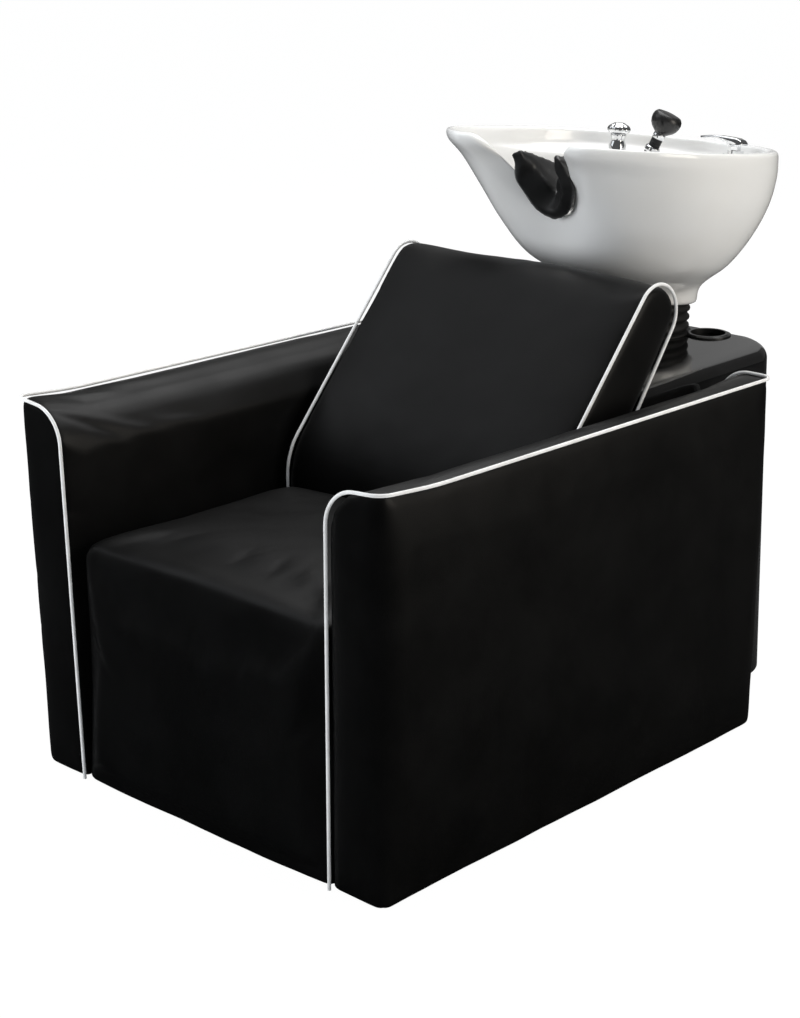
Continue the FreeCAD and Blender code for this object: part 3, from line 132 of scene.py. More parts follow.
class Paint:
    """The node tree of a material or a world, with one way to add nodes."""

    def __init__(self, owner: Union[bpy.types.Material, bpy.types.World]) -> None:
        """Start with an empty tree.

        Args:
            owner: Material or world that the tree belongs to.
        """
        owner.use_nodes = True
        self.owner = owner
        self.tree = owner.node_tree
        self.tree.nodes.clear()

    def node(self, kind: str, settings: Dict[str, object], inputs: Dict[object, Value],
             output: Union[int, str] = 0) -> Term:
        """Add a node.

        Args:
            kind: Type of the node.
            settings: Properties set first; "stops" holds a ramp's places and colours.
            inputs: Values or terms for its sockets, by name or number.
            output: Output socket to return.

        Returns:
            The chosen output as a term, which is empty for a node without outputs.
        """
        made = self.tree.nodes.new(kind)
        for key, setting in settings.items():
            if key == "stops":
                self._ramp(made.color_ramp, setting)
            else:
                setattr(made, key, setting)
        for key, value in inputs.items():
            if isinstance(value, Term):
                self.tree.links.new(value.socket, made.inputs[key])
            else:
                made.inputs[key].default_value = value
        return Term(self, made.outputs[output] if made.outputs else None)

    @staticmethod
    def _ramp(ramp: bpy.types.ColorRamp, stops: Stops) -> None:
        """Set a ramp's stops.

        Args:
            ramp: Ramp to change.
            stops: Places and colours in rising order.
        """
        while len(ramp.elements) < len(stops):
            ramp.elements.new(1.0)
        for element, (place, colour) in zip(ramp.elements, stops):
            element.position = place
            element.color = colour

    def coords(self) -> Term:
        """Object coordinates."""
        return self.node("ShaderNodeTexCoord", {}, {}, "Object")

    def cloud(self, scale: float, detail: float = 2.0, rough: float = 0.5) -> Term:
        """Noise value on Object coordinates.

        Args:
            scale: Size of the pattern, in waves per metre.
            detail: Number of finer layers.
            rough: Strength of the finer layers.

        Returns:
            The noise from 0 to 1.
        """
        return self.node("ShaderNodeTexNoise", {}, {"Vector": self.coords(), "Scale": scale,
                                                    "Detail": detail, "Roughness": rough})

    def grain(self, stretch: Triple, detail: float = 2.0) -> Term:
        """Noise value with its own number of waves per metre along each axis."""
        along = self.node("ShaderNodeMapping", {}, {"Vector": self.coords(), "Scale": stretch})
        return self.node("ShaderNodeTexNoise", {}, {"Vector": along, "Scale": 1.0, "Detail": detail})

    def ramp(self, source: Term, stops: Stops) -> Term:
        """Colour ramp over a value.

        Args:
            source: Value from 0 to 1.
            stops: Places and colours.

        Returns:
            The colour.
        """
        return self.node("ShaderNodeValToRGB", {"stops": stops}, {"Fac": source})

    def spread(self, source: Term, low: float, high: float, to_low: float, to_high: float) -> Term:
        """Map a value's range onto another, with limits.

        Args:
            source: Value to map.
            low: Start of its range.
            high: End of its range.
            to_low: Result at the start.
            to_high: Result at the end.

        Returns:
            The mapped value.
        """
        return self.node("ShaderNodeMapRange", {"clamp": True}, {
            "Value": source, "From Min": low, "From Max": high, "To Min": to_low, "To Max": to_high})

    def bump(self, height: Term, distance: float, strength: float = 1.0) -> Term:
        """Bump from a height.

        Args:
            height: Height from 0 to 1.
            distance: Depth of the relief in metres.
            strength: Share of the relief that shows.

        Returns:
            The bent normal.
        """
        return self.node("ShaderNodeBump", {}, {"Height": height, "Distance": distance, "Strength": strength})

    def ray(self, kind: str) -> Term:
        """1 for rays of a kind, such as Camera, and 0 for others."""
        return self.node("ShaderNodeLightPath", {}, {}, "Is %s Ray" % kind)

    def mixed(self, share: Term, first: Term, second: Term) -> Term:
        """Mix of two shaders by the share of the second."""
        return self.node("ShaderNodeMixShader", {}, {0: share, 1: first, 2: second})

    def surface(self, sockets: Dict[str, Value]) -> bpy.types.Material:
        """Close the material with one Principled shader.

        Args:
            sockets: Values and terms for its sockets.

        Returns:
            The finished material.
        """
        shader = self.node("ShaderNodeBsdfPrincipled", {}, sockets)
        self.node("ShaderNodeOutputMaterial", {}, {"Surface": shader})
        return self.owner


def grey(level: float) -> Colour:
    """Neutral colour of one level."""
    return (level, level, level, 1.0)


@dataclass(frozen=True)
class Finish:
    """A surface finish that makes its material once."""

    name: str
    slot: str

    def material(self) -> bpy.types.Material:
        """Material of this finish, made at first use."""
        found = bpy.data.materials.get(self.name)
        return found if found else self.make(Paint(bpy.data.materials.new(self.name)))

    def make(self, paint: Paint) -> bpy.types.Material:
        """Build the nodes; each finish has its own way."""
        raise NotImplementedError


@dataclass(frozen=True)
class Vinyl(Finish):
    """Black upholstery vinyl with a fine pebble grain."""

    shade: float = 0.0022
    shine: float = 0.20

    def make(self, paint: Paint) -> bpy.types.Material:
        """Pebble cells, pores and a faint uneven sheen.

        Args:
            paint: Empty material.

        Returns:
            The finished material.
        """
        cells = paint.node("ShaderNodeTexVoronoi", {"feature": "SMOOTH_F1"},
                           {"Vector": paint.coords(), "Scale": 620.0, "Smoothness": 0.6})
        pores = paint.cloud(1500.0, 3.0)
        patches = paint.cloud(9.0, 3.0, 0.6)
        relief = (1.0 - cells) * 0.7 + pores * 0.3
        dust = paint.spread(patches, 0.35, 0.75, 0.0, 1.0)
        base = paint.ramp(dust, [(0.0, grey(self.shade * 0.75)), (1.0, grey(self.shade * 1.5))])
        rough = paint.spread(patches, 0.3, 0.7, 0.40, 0.50) + (pores - 0.5) * 0.08
        return paint.surface({"Base Color": base, "Roughness": rough, "Specular IOR Level": self.shine,
                              "Normal": paint.bump(relief, 0.00022, 0.6)})


@dataclass(frozen=True)
class Mottled(Finish):
    """Surface whose colour and gloss drift together over a fine relief.

    drift is the scale, detail and roughness of the drift, gloss its range and the roughness at both ends,
    relief the scale, depth and strength of the bump.
    """

    drift: Triple
    stops: Stops
    gloss: Row
    shine: float
    relief: Triple

    def make(self, paint: Paint) -> bpy.types.Material:
        """Drifting colour and gloss with a bump.

        Args:
            paint: Empty material.

        Returns:
            The finished material.
        """
        scale, depth, strength = self.relief
        drift = paint.cloud(*self.drift)
        return paint.surface({"Base Color": paint.ramp(drift, self.stops), "Specular IOR Level": self.shine,
                              "Roughness": paint.spread(drift, *self.gloss),
                              "Normal": paint.bump(paint.cloud(scale), depth, strength)})


@dataclass(frozen=True)
class Glaze(Finish):
    """Gloss white sanitary glaze."""

    def make(self, paint: Paint) -> bpy.types.Material:
        """Slightly uneven glaze with a warm cast.

        Args:
            paint: Empty material.

        Returns:
            The finished material.
        """
        drift = paint.cloud(6.0, 2.0)
        ripple = paint.cloud(26.0, 1.0)
        base = paint.ramp(drift, [(0.3, (0.83, 0.82, 0.795, 1)), (0.7, (0.86, 0.855, 0.84, 1))])
        rough = paint.spread(paint.cloud(40.0, 3.0), 0.3, 0.8, 0.09, 0.16)
        return paint.surface({"Base Color": base, "Roughness": rough, "Specular IOR Level": 0.5,
                              "Coat Weight": 0.35, "Coat Roughness": 0.04,
                              "Normal": paint.bump(ripple, 0.0006, 0.35)})


@dataclass(frozen=True)
class GlossMoulding(Finish):
    """Gloss black moulding with faint hairline wear."""

    def make(self, paint: Paint) -> bpy.types.Material:
        """Deep black, hazy where it has been wiped.

        Args:
            paint: Empty material.

        Returns:
            The finished material.
        """
        haze = paint.cloud(14.0, 4.0, 0.65)
        streaks = paint.grain((300.0, 12.0, 60.0))
        base = paint.ramp(haze, [(0.3, grey(0.004)), (0.75, grey(0.009))])
        rough = paint.spread(haze, 0.35, 0.75, 0.05, 0.13) + paint.spread(streaks, 0.6, 0.8, 0.0, 0.05)
        return paint.surface({"Base Color": base, "Roughness": rough, "Specular IOR Level": 0.5,
                              "Normal": paint.bump(paint.cloud(18.0, 1.0), 0.0005, 0.25)})


@dataclass(frozen=True)
class Metal(Finish):
    """Plain or plated metal."""

    colour: Triple = (0.8, 0.8, 0.8)
    smooth: float = 0.06
    worn: float = 0.16
    brushed: float = 0.0

    def make(self, paint: Paint) -> bpy.types.Material:
        """Metal with smudges and, if brushed, fine lines.

        Args:
            paint: Empty material.

        Returns:
            The finished material.
        """
        smudge = paint.cloud(70.0, 4.0, 0.6)
        dull = tuple(0.86 * part for part in self.colour) + (1.0,)
        base = paint.ramp(smudge, [(0.3, dull), (0.65, tuple(self.colour) + (1.0,))])
        rough = paint.spread(smudge, 0.35, 0.8, self.smooth, self.worn)
        grain = paint.grain((40.0, 40.0, 2600.0))
        return paint.surface({"Base Color": base, "Roughness": rough, "Metallic": 1.0,
                              "Normal": paint.bump(grain, 0.00006, 0.08 + self.brushed)})


@dataclass(frozen=True)
class Plywood(Finish):
    """Bare plywood with its grain and plies."""

    def make(self, paint: Paint) -> bpy.types.Material:
        """Long grain on the face and thin plies on the edge.

        Args:
            paint: Empty material.

        Returns:
            The finished material.
        """
        grain = paint.grain((90.0, 5.0, 700.0), 5.0)
        base = paint.ramp(grain, [(0.3, (0.30, 0.19, 0.10, 1)), (0.7, (0.56, 0.40, 0.23, 1))])
        return paint.surface({"Base Color": base, "Roughness": paint.spread(grain, 0.3, 0.7, 0.75, 0.6),
                              "Specular IOR Level": 0.25, "Normal": paint.bump(grain, 0.0003, 0.5)})


def polymer(name: str, slot: str, shade: float, gloss: Pair, shine: float, relief: float) -> Mottled:
    """Rubber, gel or satin plastic in black, with a dusty bloom.

    Args:
        name: Name of the material.
        slot: Slot that it fills.
        shade: Grey level.
        gloss: Least and greatest roughness.
        shine: Strength of its reflections.
        relief: Depth of the moulded texture in metres.

    Returns:
        The finish.
    """
    return Mottled(name, slot, (30.0, 4.0, 0.6), ((0.3, grey(shade * 0.7)), (0.75, grey(shade * 1.6))),
                   (0.3, 0.75, *gloss), shine, (900.0, relief, 0.6))


VINYL = Vinyl("black_vinyl", "vinyl")
PIPING = Mottled("white_piping", "piping", (60.0, 4.0, 0.6),
                 ((0.3, (0.80, 0.79, 0.77, 1)), (0.6, (0.90, 0.895, 0.885, 1))),
                 (0.3, 0.7, 0.34, 0.5), 0.4, (1400.0, 0.0001, 0.5))
GLAZE = Glaze("white_glaze", "ceramic")
MOULDING = GlossMoulding("gloss_moulding", "housing_gloss")
CHROME = Metal("polished_chrome", "chrome", (0.80, 0.81, 0.82), 0.04, 0.13)
ZINC = Metal("zinc_plate", "steel", (0.55, 0.55, 0.56), 0.22, 0.4, 0.2)
BRASS = Metal("plain_brass", "brass", (0.66, 0.47, 0.20), 0.2, 0.4, 0.2)
RUBBER = polymer("matt_rubber", "rubber", 0.012, (0.5, 0.66), 0.35, 0.00015)
GEL = polymer("gel_rest", "rubber", 0.014, (0.30, 0.44), 0.5, 0.00008)
PLASTIC = polymer("satin_plastic", "black_plastic", 0.010, (0.26, 0.42), 0.45, 0.00005)
BOARD = Plywood("bare_plywood", "plywood")
COATED = Mottled("powder_coat", "frame_paint", (20.0, 4.0, 0.5), ((0.4, grey(0.012)), (0.8, grey(0.03))),
                 (0.3, 0.7, 0.42, 0.55), 0.4, (700.0, 0.00015, 0.6))


def linked(name: str, data: bpy.types.ID) -> bpy.types.Object:
    """New object of the scene with the given mesh, curve, lamp or camera.

    Args:
        name: Name of the object.
        data: Mesh, curve, lamp or camera that it shows.

    Returns:
        The linked object.
    """
    obj = bpy.data.objects.new(name, data)
    bpy.context.scene.collection.objects.link(obj)
    return obj


def as_object(bm: bmesh.types.BMesh, name: str) -> bpy.types.Object:
    """Turn a bmesh, which is freed, into a smooth object at the origin.

    Args:
        bm: Mesh under construction, freed here.
        name: Name of the piece.

    Returns:
        The linked object.
    """
    mesh = bpy.data.meshes.new(name)
    bm.to_mesh(mesh)
    bm.free()
    mesh.shade_smooth()
    return linked(name, mesh)


def tidy_normals(bm: bmesh.types.BMesh) -> None:
    """Merge doubles and turn all faces outwards."""
    bmesh.ops.remove_doubles(bm, verts=bm.verts[:], dist=MERGE)
    bmesh.ops.recalc_face_normals(bm, faces=bm.faces[:])


def capped(bm: bmesh.types.BMesh) -> None:
    """Close the open ends of a mesh."""
    bmesh.ops.holes_fill(bm, edges=[edge for edge in bm.edges if edge.is_boundary], sides=0)
    tidy_normals(bm)


def grown(made: Dict[str, list]) -> List[bmesh.types.BMVert]:
    """Vertices that an operator made."""
    return [item for item in made["geom"] if isinstance(item, bmesh.types.BMVert)]


def prism(outline: Sequence[Triple], sweep: Triple) -> bmesh.types.BMesh:
    """Solid swept from a flat outline.

    Args:
        outline: Corners of the starting face.
        sweep: Way from the starting face to the end face.

    Returns:
        The closed mesh.
    """
    bm = bmesh.new()
    face = bm.faces.new([bm.verts.new(corner) for corner in outline])
    bmesh.ops.translate(bm, vec=sweep, verts=grown(bmesh.ops.extrude_face_region(bm, geom=[face])))
    tidy_normals(bm)
    return bm


def rounded(bm: bmesh.types.BMesh, edges: Sequence[bmesh.types.BMEdge], offset: float, segments: int) -> None:
    """Round edges.

    Args:
        bm: Mesh under construction.
        edges: Edges to round.
        offset: Distance from an edge to where the rounding starts.
        segments: Number of faces across it.
    """
    bmesh.ops.bevel(bm, geom=edges, offset=offset, offset_type="OFFSET", segments=segments, profile=0.5,
                    affect="EDGES", material=-1)


def middle(edge: bmesh.types.BMEdge) -> Vector:
    """Middle of an edge."""
    return (edge.verts[0].co + edge.verts[1].co) / 2


def softened(obj: bpy.types.Object) -> None:
    """Add a subdivision surface of one level."""
    modifier = obj.modifiers.new("Smooth", "SUBSURF")
    modifier.levels = modifier.render_levels = 1


def eased(obj: bpy.types.Object, width: float, segments: int = 2) -> None:
    """Round the sharp edges of a piece.

    Args:
        obj: Piece to change.
        width: Width of the rounding in metres.
        segments: Number of faces across it.
    """
    modifier = obj.modifiers.new("Eased", "BEVEL")
    modifier.width = width
    modifier.segments = segments
    modifier.limit_method = "ANGLE"
    modifier.angle_limit = math.radians(35)
    modifier.harden_normals = True


def dressed(obj: bpy.types.Object, finish: Finish, body: str, *nodes: str) -> None:
    """Give a piece its finish, body and the nodes that it stands for.

    Args:
        obj: Piece in place.
        finish: Surface finish.
        body: Body that it rides on.
        nodes: CAD nodes that it replaces.
    """
    obj.data.materials.clear()
    obj.data.materials.append(finish.material())
    if body:
        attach(obj, body)
    if nodes:
        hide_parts(*nodes)


def evaluated_mesh(obj: bpy.types.Object) -> bpy.types.Mesh:
    """New mesh of an object with its modifiers applied."""
    graph = bpy.context.evaluated_depsgraph_get()
    return bpy.data.meshes.new_from_object(obj.evaluated_get(graph))


def woven(obj: bpy.types.Object, pitch: float) -> None:
    """Remesh a piece into small even faces.

    Args:
        obj: Closed piece.
        pitch: Size of a face in metres.
    """
    modifier = obj.modifiers.new("Weave", "REMESH")
    modifier.mode = "VOXEL"
    modifier.voxel_size = pitch
    mesh = evaluated_mesh(obj)
    obj.modifiers.clear()
    obj.data = mesh
    mesh.shade_smooth()


def swell(obj: bpy.types.Object, hold: Callable[[Vector], float], cap: float, pressure: float = 4.0) -> None:
    """Swell a cover over its filling with cloth, then keep the result in the mesh.

    Args:
        obj: Finely divided closed piece.
        hold: Share from 0 to 1 by which a point is held.
        cap: Largest move of a point in metres.
        pressure: Pressure inside the cover.
    """
    mesh = obj.data
    rest = [vertex.co.copy() for vertex in mesh.vertices]
    held = [hold(place) for place in rest]
    group = obj.vertex_groups.new(name="hold")
    for index, share in enumerate(held):
        group.add([index], share, "REPLACE")
    cloth = obj.modifiers.new("Swell", "CLOTH")
    cloth.settings.use_pressure = True
    cloth.settings.uniform_pressure_force = pressure
    cloth.settings.vertex_group_mass = group.name
    cloth.settings.effector_weights.gravity = 0.0
    cloth.settings.quality = 4
    cloth.point_cache.frame_start = 1
    cloth.point_cache.frame_end = 20
    for step in range(1, 21):
        bpy.context.scene.frame_set(step)
    moved = [vertex.co.copy() for vertex in evaluated_mesh(obj).vertices]
    obj.modifiers.clear()
    obj.vertex_groups.clear()
    bpy.context.scene.frame_set(1)
    for vertex, start, end in zip(mesh.vertices, rest, moved):
        shift = end - start
        vertex.co = start + shift * min(1.0, cap / max(shift.length, 1e-9))


def sculpted(obj: bpy.types.Object, move: Callable[[Vector, Vector], Vector]) -> None:
    """Move each point of a mesh by a rule on its place and normal.

    Args:
        obj: Piece to change.
        move: Rule that gives a point's shift from its place and normal.
    """
    shifts = [move(vertex.co.copy(), vertex.normal.copy()) for vertex in obj.data.vertices]
    for vertex, shift in zip(obj.data.vertices, shifts):
        vertex.co = vertex.co + shift
    obj.data.update()


def clip(value: float) -> float:
    """Value kept between 0 and 1."""
    return min(1.0, max(0.0, value))


def step_up(low: float, high: float, place: float) -> float:
    """Smooth step from 0 to 1 between two places."""
    share = clip((place - low) / (high - low))
    return share * share * (3 - 2 * share)


def uneven(place: Vector, layers: Sequence[Layer]) -> float:
    """Height of uneven foam at a place, from layers of waves per metre, depth and offset."""
    return sum(noise.noise(place * waves + Vector(offset)) * depth for waves, depth, offset in layers)


@dataclass
class SewnLine:
    """A route of straight runs and round corners that a piping cord follows."""

    corners: List[Triple]
    radii: List[float]

    def curve(self, name: str) -> bpy.types.Object:
        """Bezier curve along the route.

        Args:
            name: Name of the curve.

        Returns:
            The curve object.
        """
        points = [Vector(corner) for corner in self.corners]
        stops: List[Tuple[Vector, Vector, Vector]] = [(points[0], points[0], points[0])]
        for before, corner, after, radius in zip(points, points[1:], points[2:], self.radii):
            into, out = (corner - before).normalized(), (after - corner).normalized()
            turn = into.angle(out)
            reach = radius * math.tan(turn / 2)
            pull = radius * math.tan(turn / 4) * 4 / 3
            first, last = corner - into * reach, corner + out * reach
            stops.append((first, first - into * pull * 0.3, first + into * pull))
            stops.append((last, last - out * pull, last + out * pull * 0.3))
        stops.append((points[-1], points[-1], points[-1]))
        data = bpy.data.curves.new(name, "CURVE")
        data.dimensions = "3D"
        data.resolution_u = 14
        spline = data.splines.new("BEZIER")
        spline.bezier_points.add(len(stops) - 1)
        for bezier, (place, left, right) in zip(spline.bezier_points, stops):
            bezier.co, bezier.handle_left, bezier.handle_right = place, left, right
        return linked(name, data)

    def tree(self) -> kdtree.KDTree:
        """Points close together along the route, for distances to it.

        Returns:
            Search tree of the points.
        """
        curve = self.curve("route")
        line = evaluated_mesh(curve)
        places = [vertex.co.copy() for vertex in line.vertices]
        bpy.data.objects.remove(curve)
        dense = [start.lerp(end, step / 40) for start, end in zip(places, places[1:]) for step in range(40)]
        tree = kdtree.KDTree(len(dense) + 1)
        for index, place in enumerate(dense + places[-1:]):
            tree.insert(place, index)
        tree.balance()
        return tree

    def cord(self, name: str, radius: float) -> bpy.types.Object:
        """Round cord along the route as a mesh.

        Args:
            name: Name of the piece.
            radius: Radius of the cord in metres.

        Returns:
            The mesh object.
        """
        curve = self.curve(name + "_line")
        curve.data.bevel_depth = radius
        curve.data.bevel_resolution = 3
        curve.data.use_fill_caps = True
        mesh = evaluated_mesh(curve)
        bpy.data.objects.remove(curve)
        mesh.name = name
        mesh.shade_smooth()
        return linked(name, mesh)


def creased(obj: bpy.types.Object, tree: kdtree.KDTree, depth: float, reach: float) -> None:
    """Draw a cover in along a seam.

    Args:
        obj: Cover to change.
        tree: Points along the seam.
        depth: Depth of the crease in metres.
        reach: Width over which it fades.
    """
    sculpted(obj, lambda place, normal: normal * -depth * math.exp(-(tree.find(place)[2] / reach) ** 2))


@dataclass
class Arm:
    """Padded arm with piping round its top and front."""

    side: Side
    inner: float = 0.260
    outer: float = 0.358
    front: float = -0.586
    rear: float = 0.284
    base: float = 0.0005
    top: float = 0.572
    shoulder: float = 0.055
    corner: float = 0.020
    skin: float = 0.0015
    lift: float = 0.008
    lift_reach: float = 0.1
    lift_bend: float = 0.9
    piping: float = 0.0026
    splay: float = 0.0
    bulge: float = 0.010
    outer_bulge: float = 0.7
    swelling: float = 0.0055
    crease: Pair = (0.0022, 0.006)
    cord_start: float = 0.002
    foam: Sequence[Layer] = ((7.0, 0.0011, (0.0, 0.0, 0.0)), (22.0, 0.0004, (3.0, 1.0, 7.0)))
    near: float = 1e-4

    def seam(self) -> SewnLine:
        """Route of the piping.

        Returns:
            The route.
        """
        side, start = self.side.value, self.base + self.cord_start
        corners = [(self.inner, self.front, start), (self.inner, self.front, self.top),
                   (self.outer, self.front, self.top + self.lift),
                   (self.outer, self.front + self.lift_reach, self.top + 0.0005),
                   (self.outer, self.rear, self.top), (self.inner, self.rear, self.top),
                   (self.inner, self.rear, start)]
        return SewnLine([(side * (x + self.splay * z / self.top), y, z) for x, y, z in corners],
                        [self.shoulder, self.corner, self.lift_bend, self.corner, self.shoulder])

    def block(self) -> bpy.types.Object:
        """Filling of the arm before its cover is swollen.

        Returns:
            The piece.
        """
        side, skin = self.side.value, self.skin
        bm = bmesh.new()
        size = (self.outer - self.inner - 2 * skin, self.rear - self.front - 2 * skin, self.top - self.base - skin)
        centre = (side * (self.inner + self.outer) / 2, (self.front + self.rear) / 2,
                  (self.top + self.base - skin) / 2)
        bmesh.ops.create_cube(bm, size=1.0, matrix=Matrix.Translation(centre) @ Matrix.Diagonal((*size, 1.0)))
        inner_x = side * (self.inner + skin)
        shoulder = [edge for edge in bm.edges if abs(middle(edge).x - inner_x) < self.near
                    and abs(middle(edge).z - self.top + skin) < self.near]
        rounded(bm, shoulder, self.shoulder, 10)
        outer = [edge for edge in bm.edges if abs(middle(edge).x + inner_x - 2 * centre[0]) < self.near
                 and abs(middle(edge).z - centre[2]) < self.near]
        rounded(bm, outer, self.corner, 5)
        for vert in bm.verts:
            vert.co.x += side * self.splay * vert.co.z / self.top
        return as_object(bm, "arm_%s" % self.side.word)

    def build(self) -> None:
        """Make and dress the cover and its piping."""
        seam = self.seam()
        tree = seam.tree()
        cover = self.block()
        woven(cover, WEAVE)
        sculpted(cover, self.lifted)

        def hold(place: Vector) -> float:
            """Points near the seam and the floor are held.

            Args:
                place: Point of the cover.

            Returns:
                Share from 0 to 1.
            """
            near = 1 - step_up(0.004, 0.020, tree.find(place)[2])
            low = 1 - step_up(self.base, self.base + 0.05, place.z)
            return max(near, low)

        swell(cover, hold, self.swelling)
        creased(cover, tree, *self.crease)
        sculpted(cover, self.hand_work)
        softened(cover)
        dressed(cover, VINYL, "chair", "arm_cover_" + self.side.word)
        cord = seam.cord("piping_arm_" + self.side.word, self.piping)
        dressed(cord, PIPING, "chair", "arm_piping_" + self.side.word)
        LOG.info("arm %s", self.side.word)

    def lifted(self, place: Vector, normal: Vector) -> Vector:
        """Raise the outer front corner of the top.

        Args:
            place: Point of the cover.
            normal: Its normal, which isn't used.

        Returns:
            Shift of the point.
        """
        ahead = 1 - step_up(0.0, self.lift_reach, place.y - self.front)
        outward = step_up(self.inner, self.outer, abs(place.x))
        return Vector((0, 0, self.lift * ahead * outward * step_up(self.top - 0.2, self.top, place.z)))

    def hand_work(self, place: Vector, normal: Vector) -> Vector:
        """Slight unevenness of foam under the cover, and a fuller rear and outer face.

        Args:
            place: Point of the cover.
            normal: Its normal.

        Returns:
            Shift of the point.
        """
        height = clip((place.z - self.base) / (self.top - self.base))
        belly = math.sin(math.pi * height ** 1.3) ** 0.6
        across = math.sin(math.pi * clip((abs(place.x) - self.inner) / (self.outer - self.inner)))
        rear = max(0.0, normal.y) * max(0.0, across) ** 0.5
        outside = max(0.0, normal.x * self.side.value) * self.outer_bulge
        return normal * (uneven(place, self.foam) + self.bulge * belly * max(rear, outside))


@dataclass
class Seat:
    """Seat cushion that runs down the front as an apron."""

    half: float = 0.264
    front: float = -0.588
    rear: float = -0.157
    top: float = 0.386
    fall: float = 0.010
    under: float = 0.277
    apron: float = -0.546
    base: float = 0.0005
    edge: float = 0.026
    corner: float = 0.018
    crown: float = 0.009
    side_fall: float = 0.004
    skin: float = 0.004
    swelling: float = 0.009
    tuck_x: float = 0.236
    tuck_half: float = 0.006
    tuck_depth: float = 0.0014
    foam: Sequence[Layer] = ((8.0, 0.0016, (5.0, 0.0, 2.0)), (25.0, 0.0005, (0.0, 0.0, 0.0)))

    def block(self) -> bpy.types.Object:
        """Filling of the seat before its cover is swollen.

        Returns:
            The piece.
        """
        skin = self.skin
        outline = [(self.front + skin, self.base), (self.front + skin, self.top - skin),
                   (self.rear, self.top - self.fall - skin), (self.rear, self.under),
                   (self.apron, self.under), (self.apron, self.base)]
        bm = prism([(skin - self.half, y, z) for y, z in outline], (2 * (self.half - skin), 0, 0))
        across = [edge for edge in bm.edges if all(abs(vert.co.y - self.front - skin) < 1e-4 for vert in edge.verts)
                  and all(vert.co.z > self.under for vert in edge.verts)]
        rounded(bm, across, self.edge, 6)
        sides = [edge for edge in bm.edges if abs(edge.verts[0].co.x - edge.verts[1].co.x) < 1e-5
                 and all(self.outside(vert.co) for vert in edge.verts)]
        rounded(bm, sides, self.corner, 4)
        return as_object(bm, "seat_cover")

    def outside(self, place: Vector) -> bool:
        """Whether a corner lies on the apron's front or the seat's top."""
        return place.y < self.front + self.skin + 1e-4 or place.z > self.under + 0.05

    def build(self) -> None:
        """Make and dress the cushion."""
        cover = self.block()
        woven(cover, WEAVE)

        def hold(place: Vector) -> float:
            """The underside, the rear and the sides' lower parts are held.

            Args:
                place: Point of the cover.

            Returns:
                Share from 0 to 1.
            """
            low = 1 - step_up(self.base, self.base + 0.04, place.z)
            rear = step_up(self.rear - 0.02, self.rear, place.y)
            behind = step_up(self.front + 0.02, self.apron, place.y)
            behind *= 1 - step_up(self.under, self.under + 0.03, place.z)
            return max(low, rear, behind)

        swell(cover, hold, self.swelling)
        sculpted(cover, self.crowned)
        sculpted(cover, self.hand_work)
        softened(cover)
        dressed(cover, VINYL, "chair", "seat_cushion")
        LOG.info("seat")

    def crowned(self, place: Vector, normal: Vector) -> Vector:
        """Crown of the cushion between the arms.

        Args:
            place: Point of the cover.
            normal: Its normal.

        Returns:
            Shift of the point.
        """
        share = abs(place.x) / self.half
        swell_by = self.crown * (1 - share ** 2) - self.side_fall * share ** 8
        upward = max(0.0, normal.z) * step_up(self.under, self.under + 0.06, place.z)
        forward = max(0.0, -normal.y) * 0.3
        return normal * swell_by * max(upward, forward)

    def hand_work(self, place: Vector, normal: Vector) -> Vector:
        """Uneven foam and the small tuck at the front right corner.

        Args:
            place: Point of the cover.
            normal: Its normal.

        Returns:
            Shift of the point.
        """
        tuck = math.exp(-((place.x - self.tuck_x) / self.tuck_half) ** 2) * step_up(0.1, 0.3, place.z)
        tuck *= 1 - step_up(self.front + 0.004, self.front + 0.05, place.y)
        return normal * (uneven(place, self.foam) - self.tuck_depth * tuck)


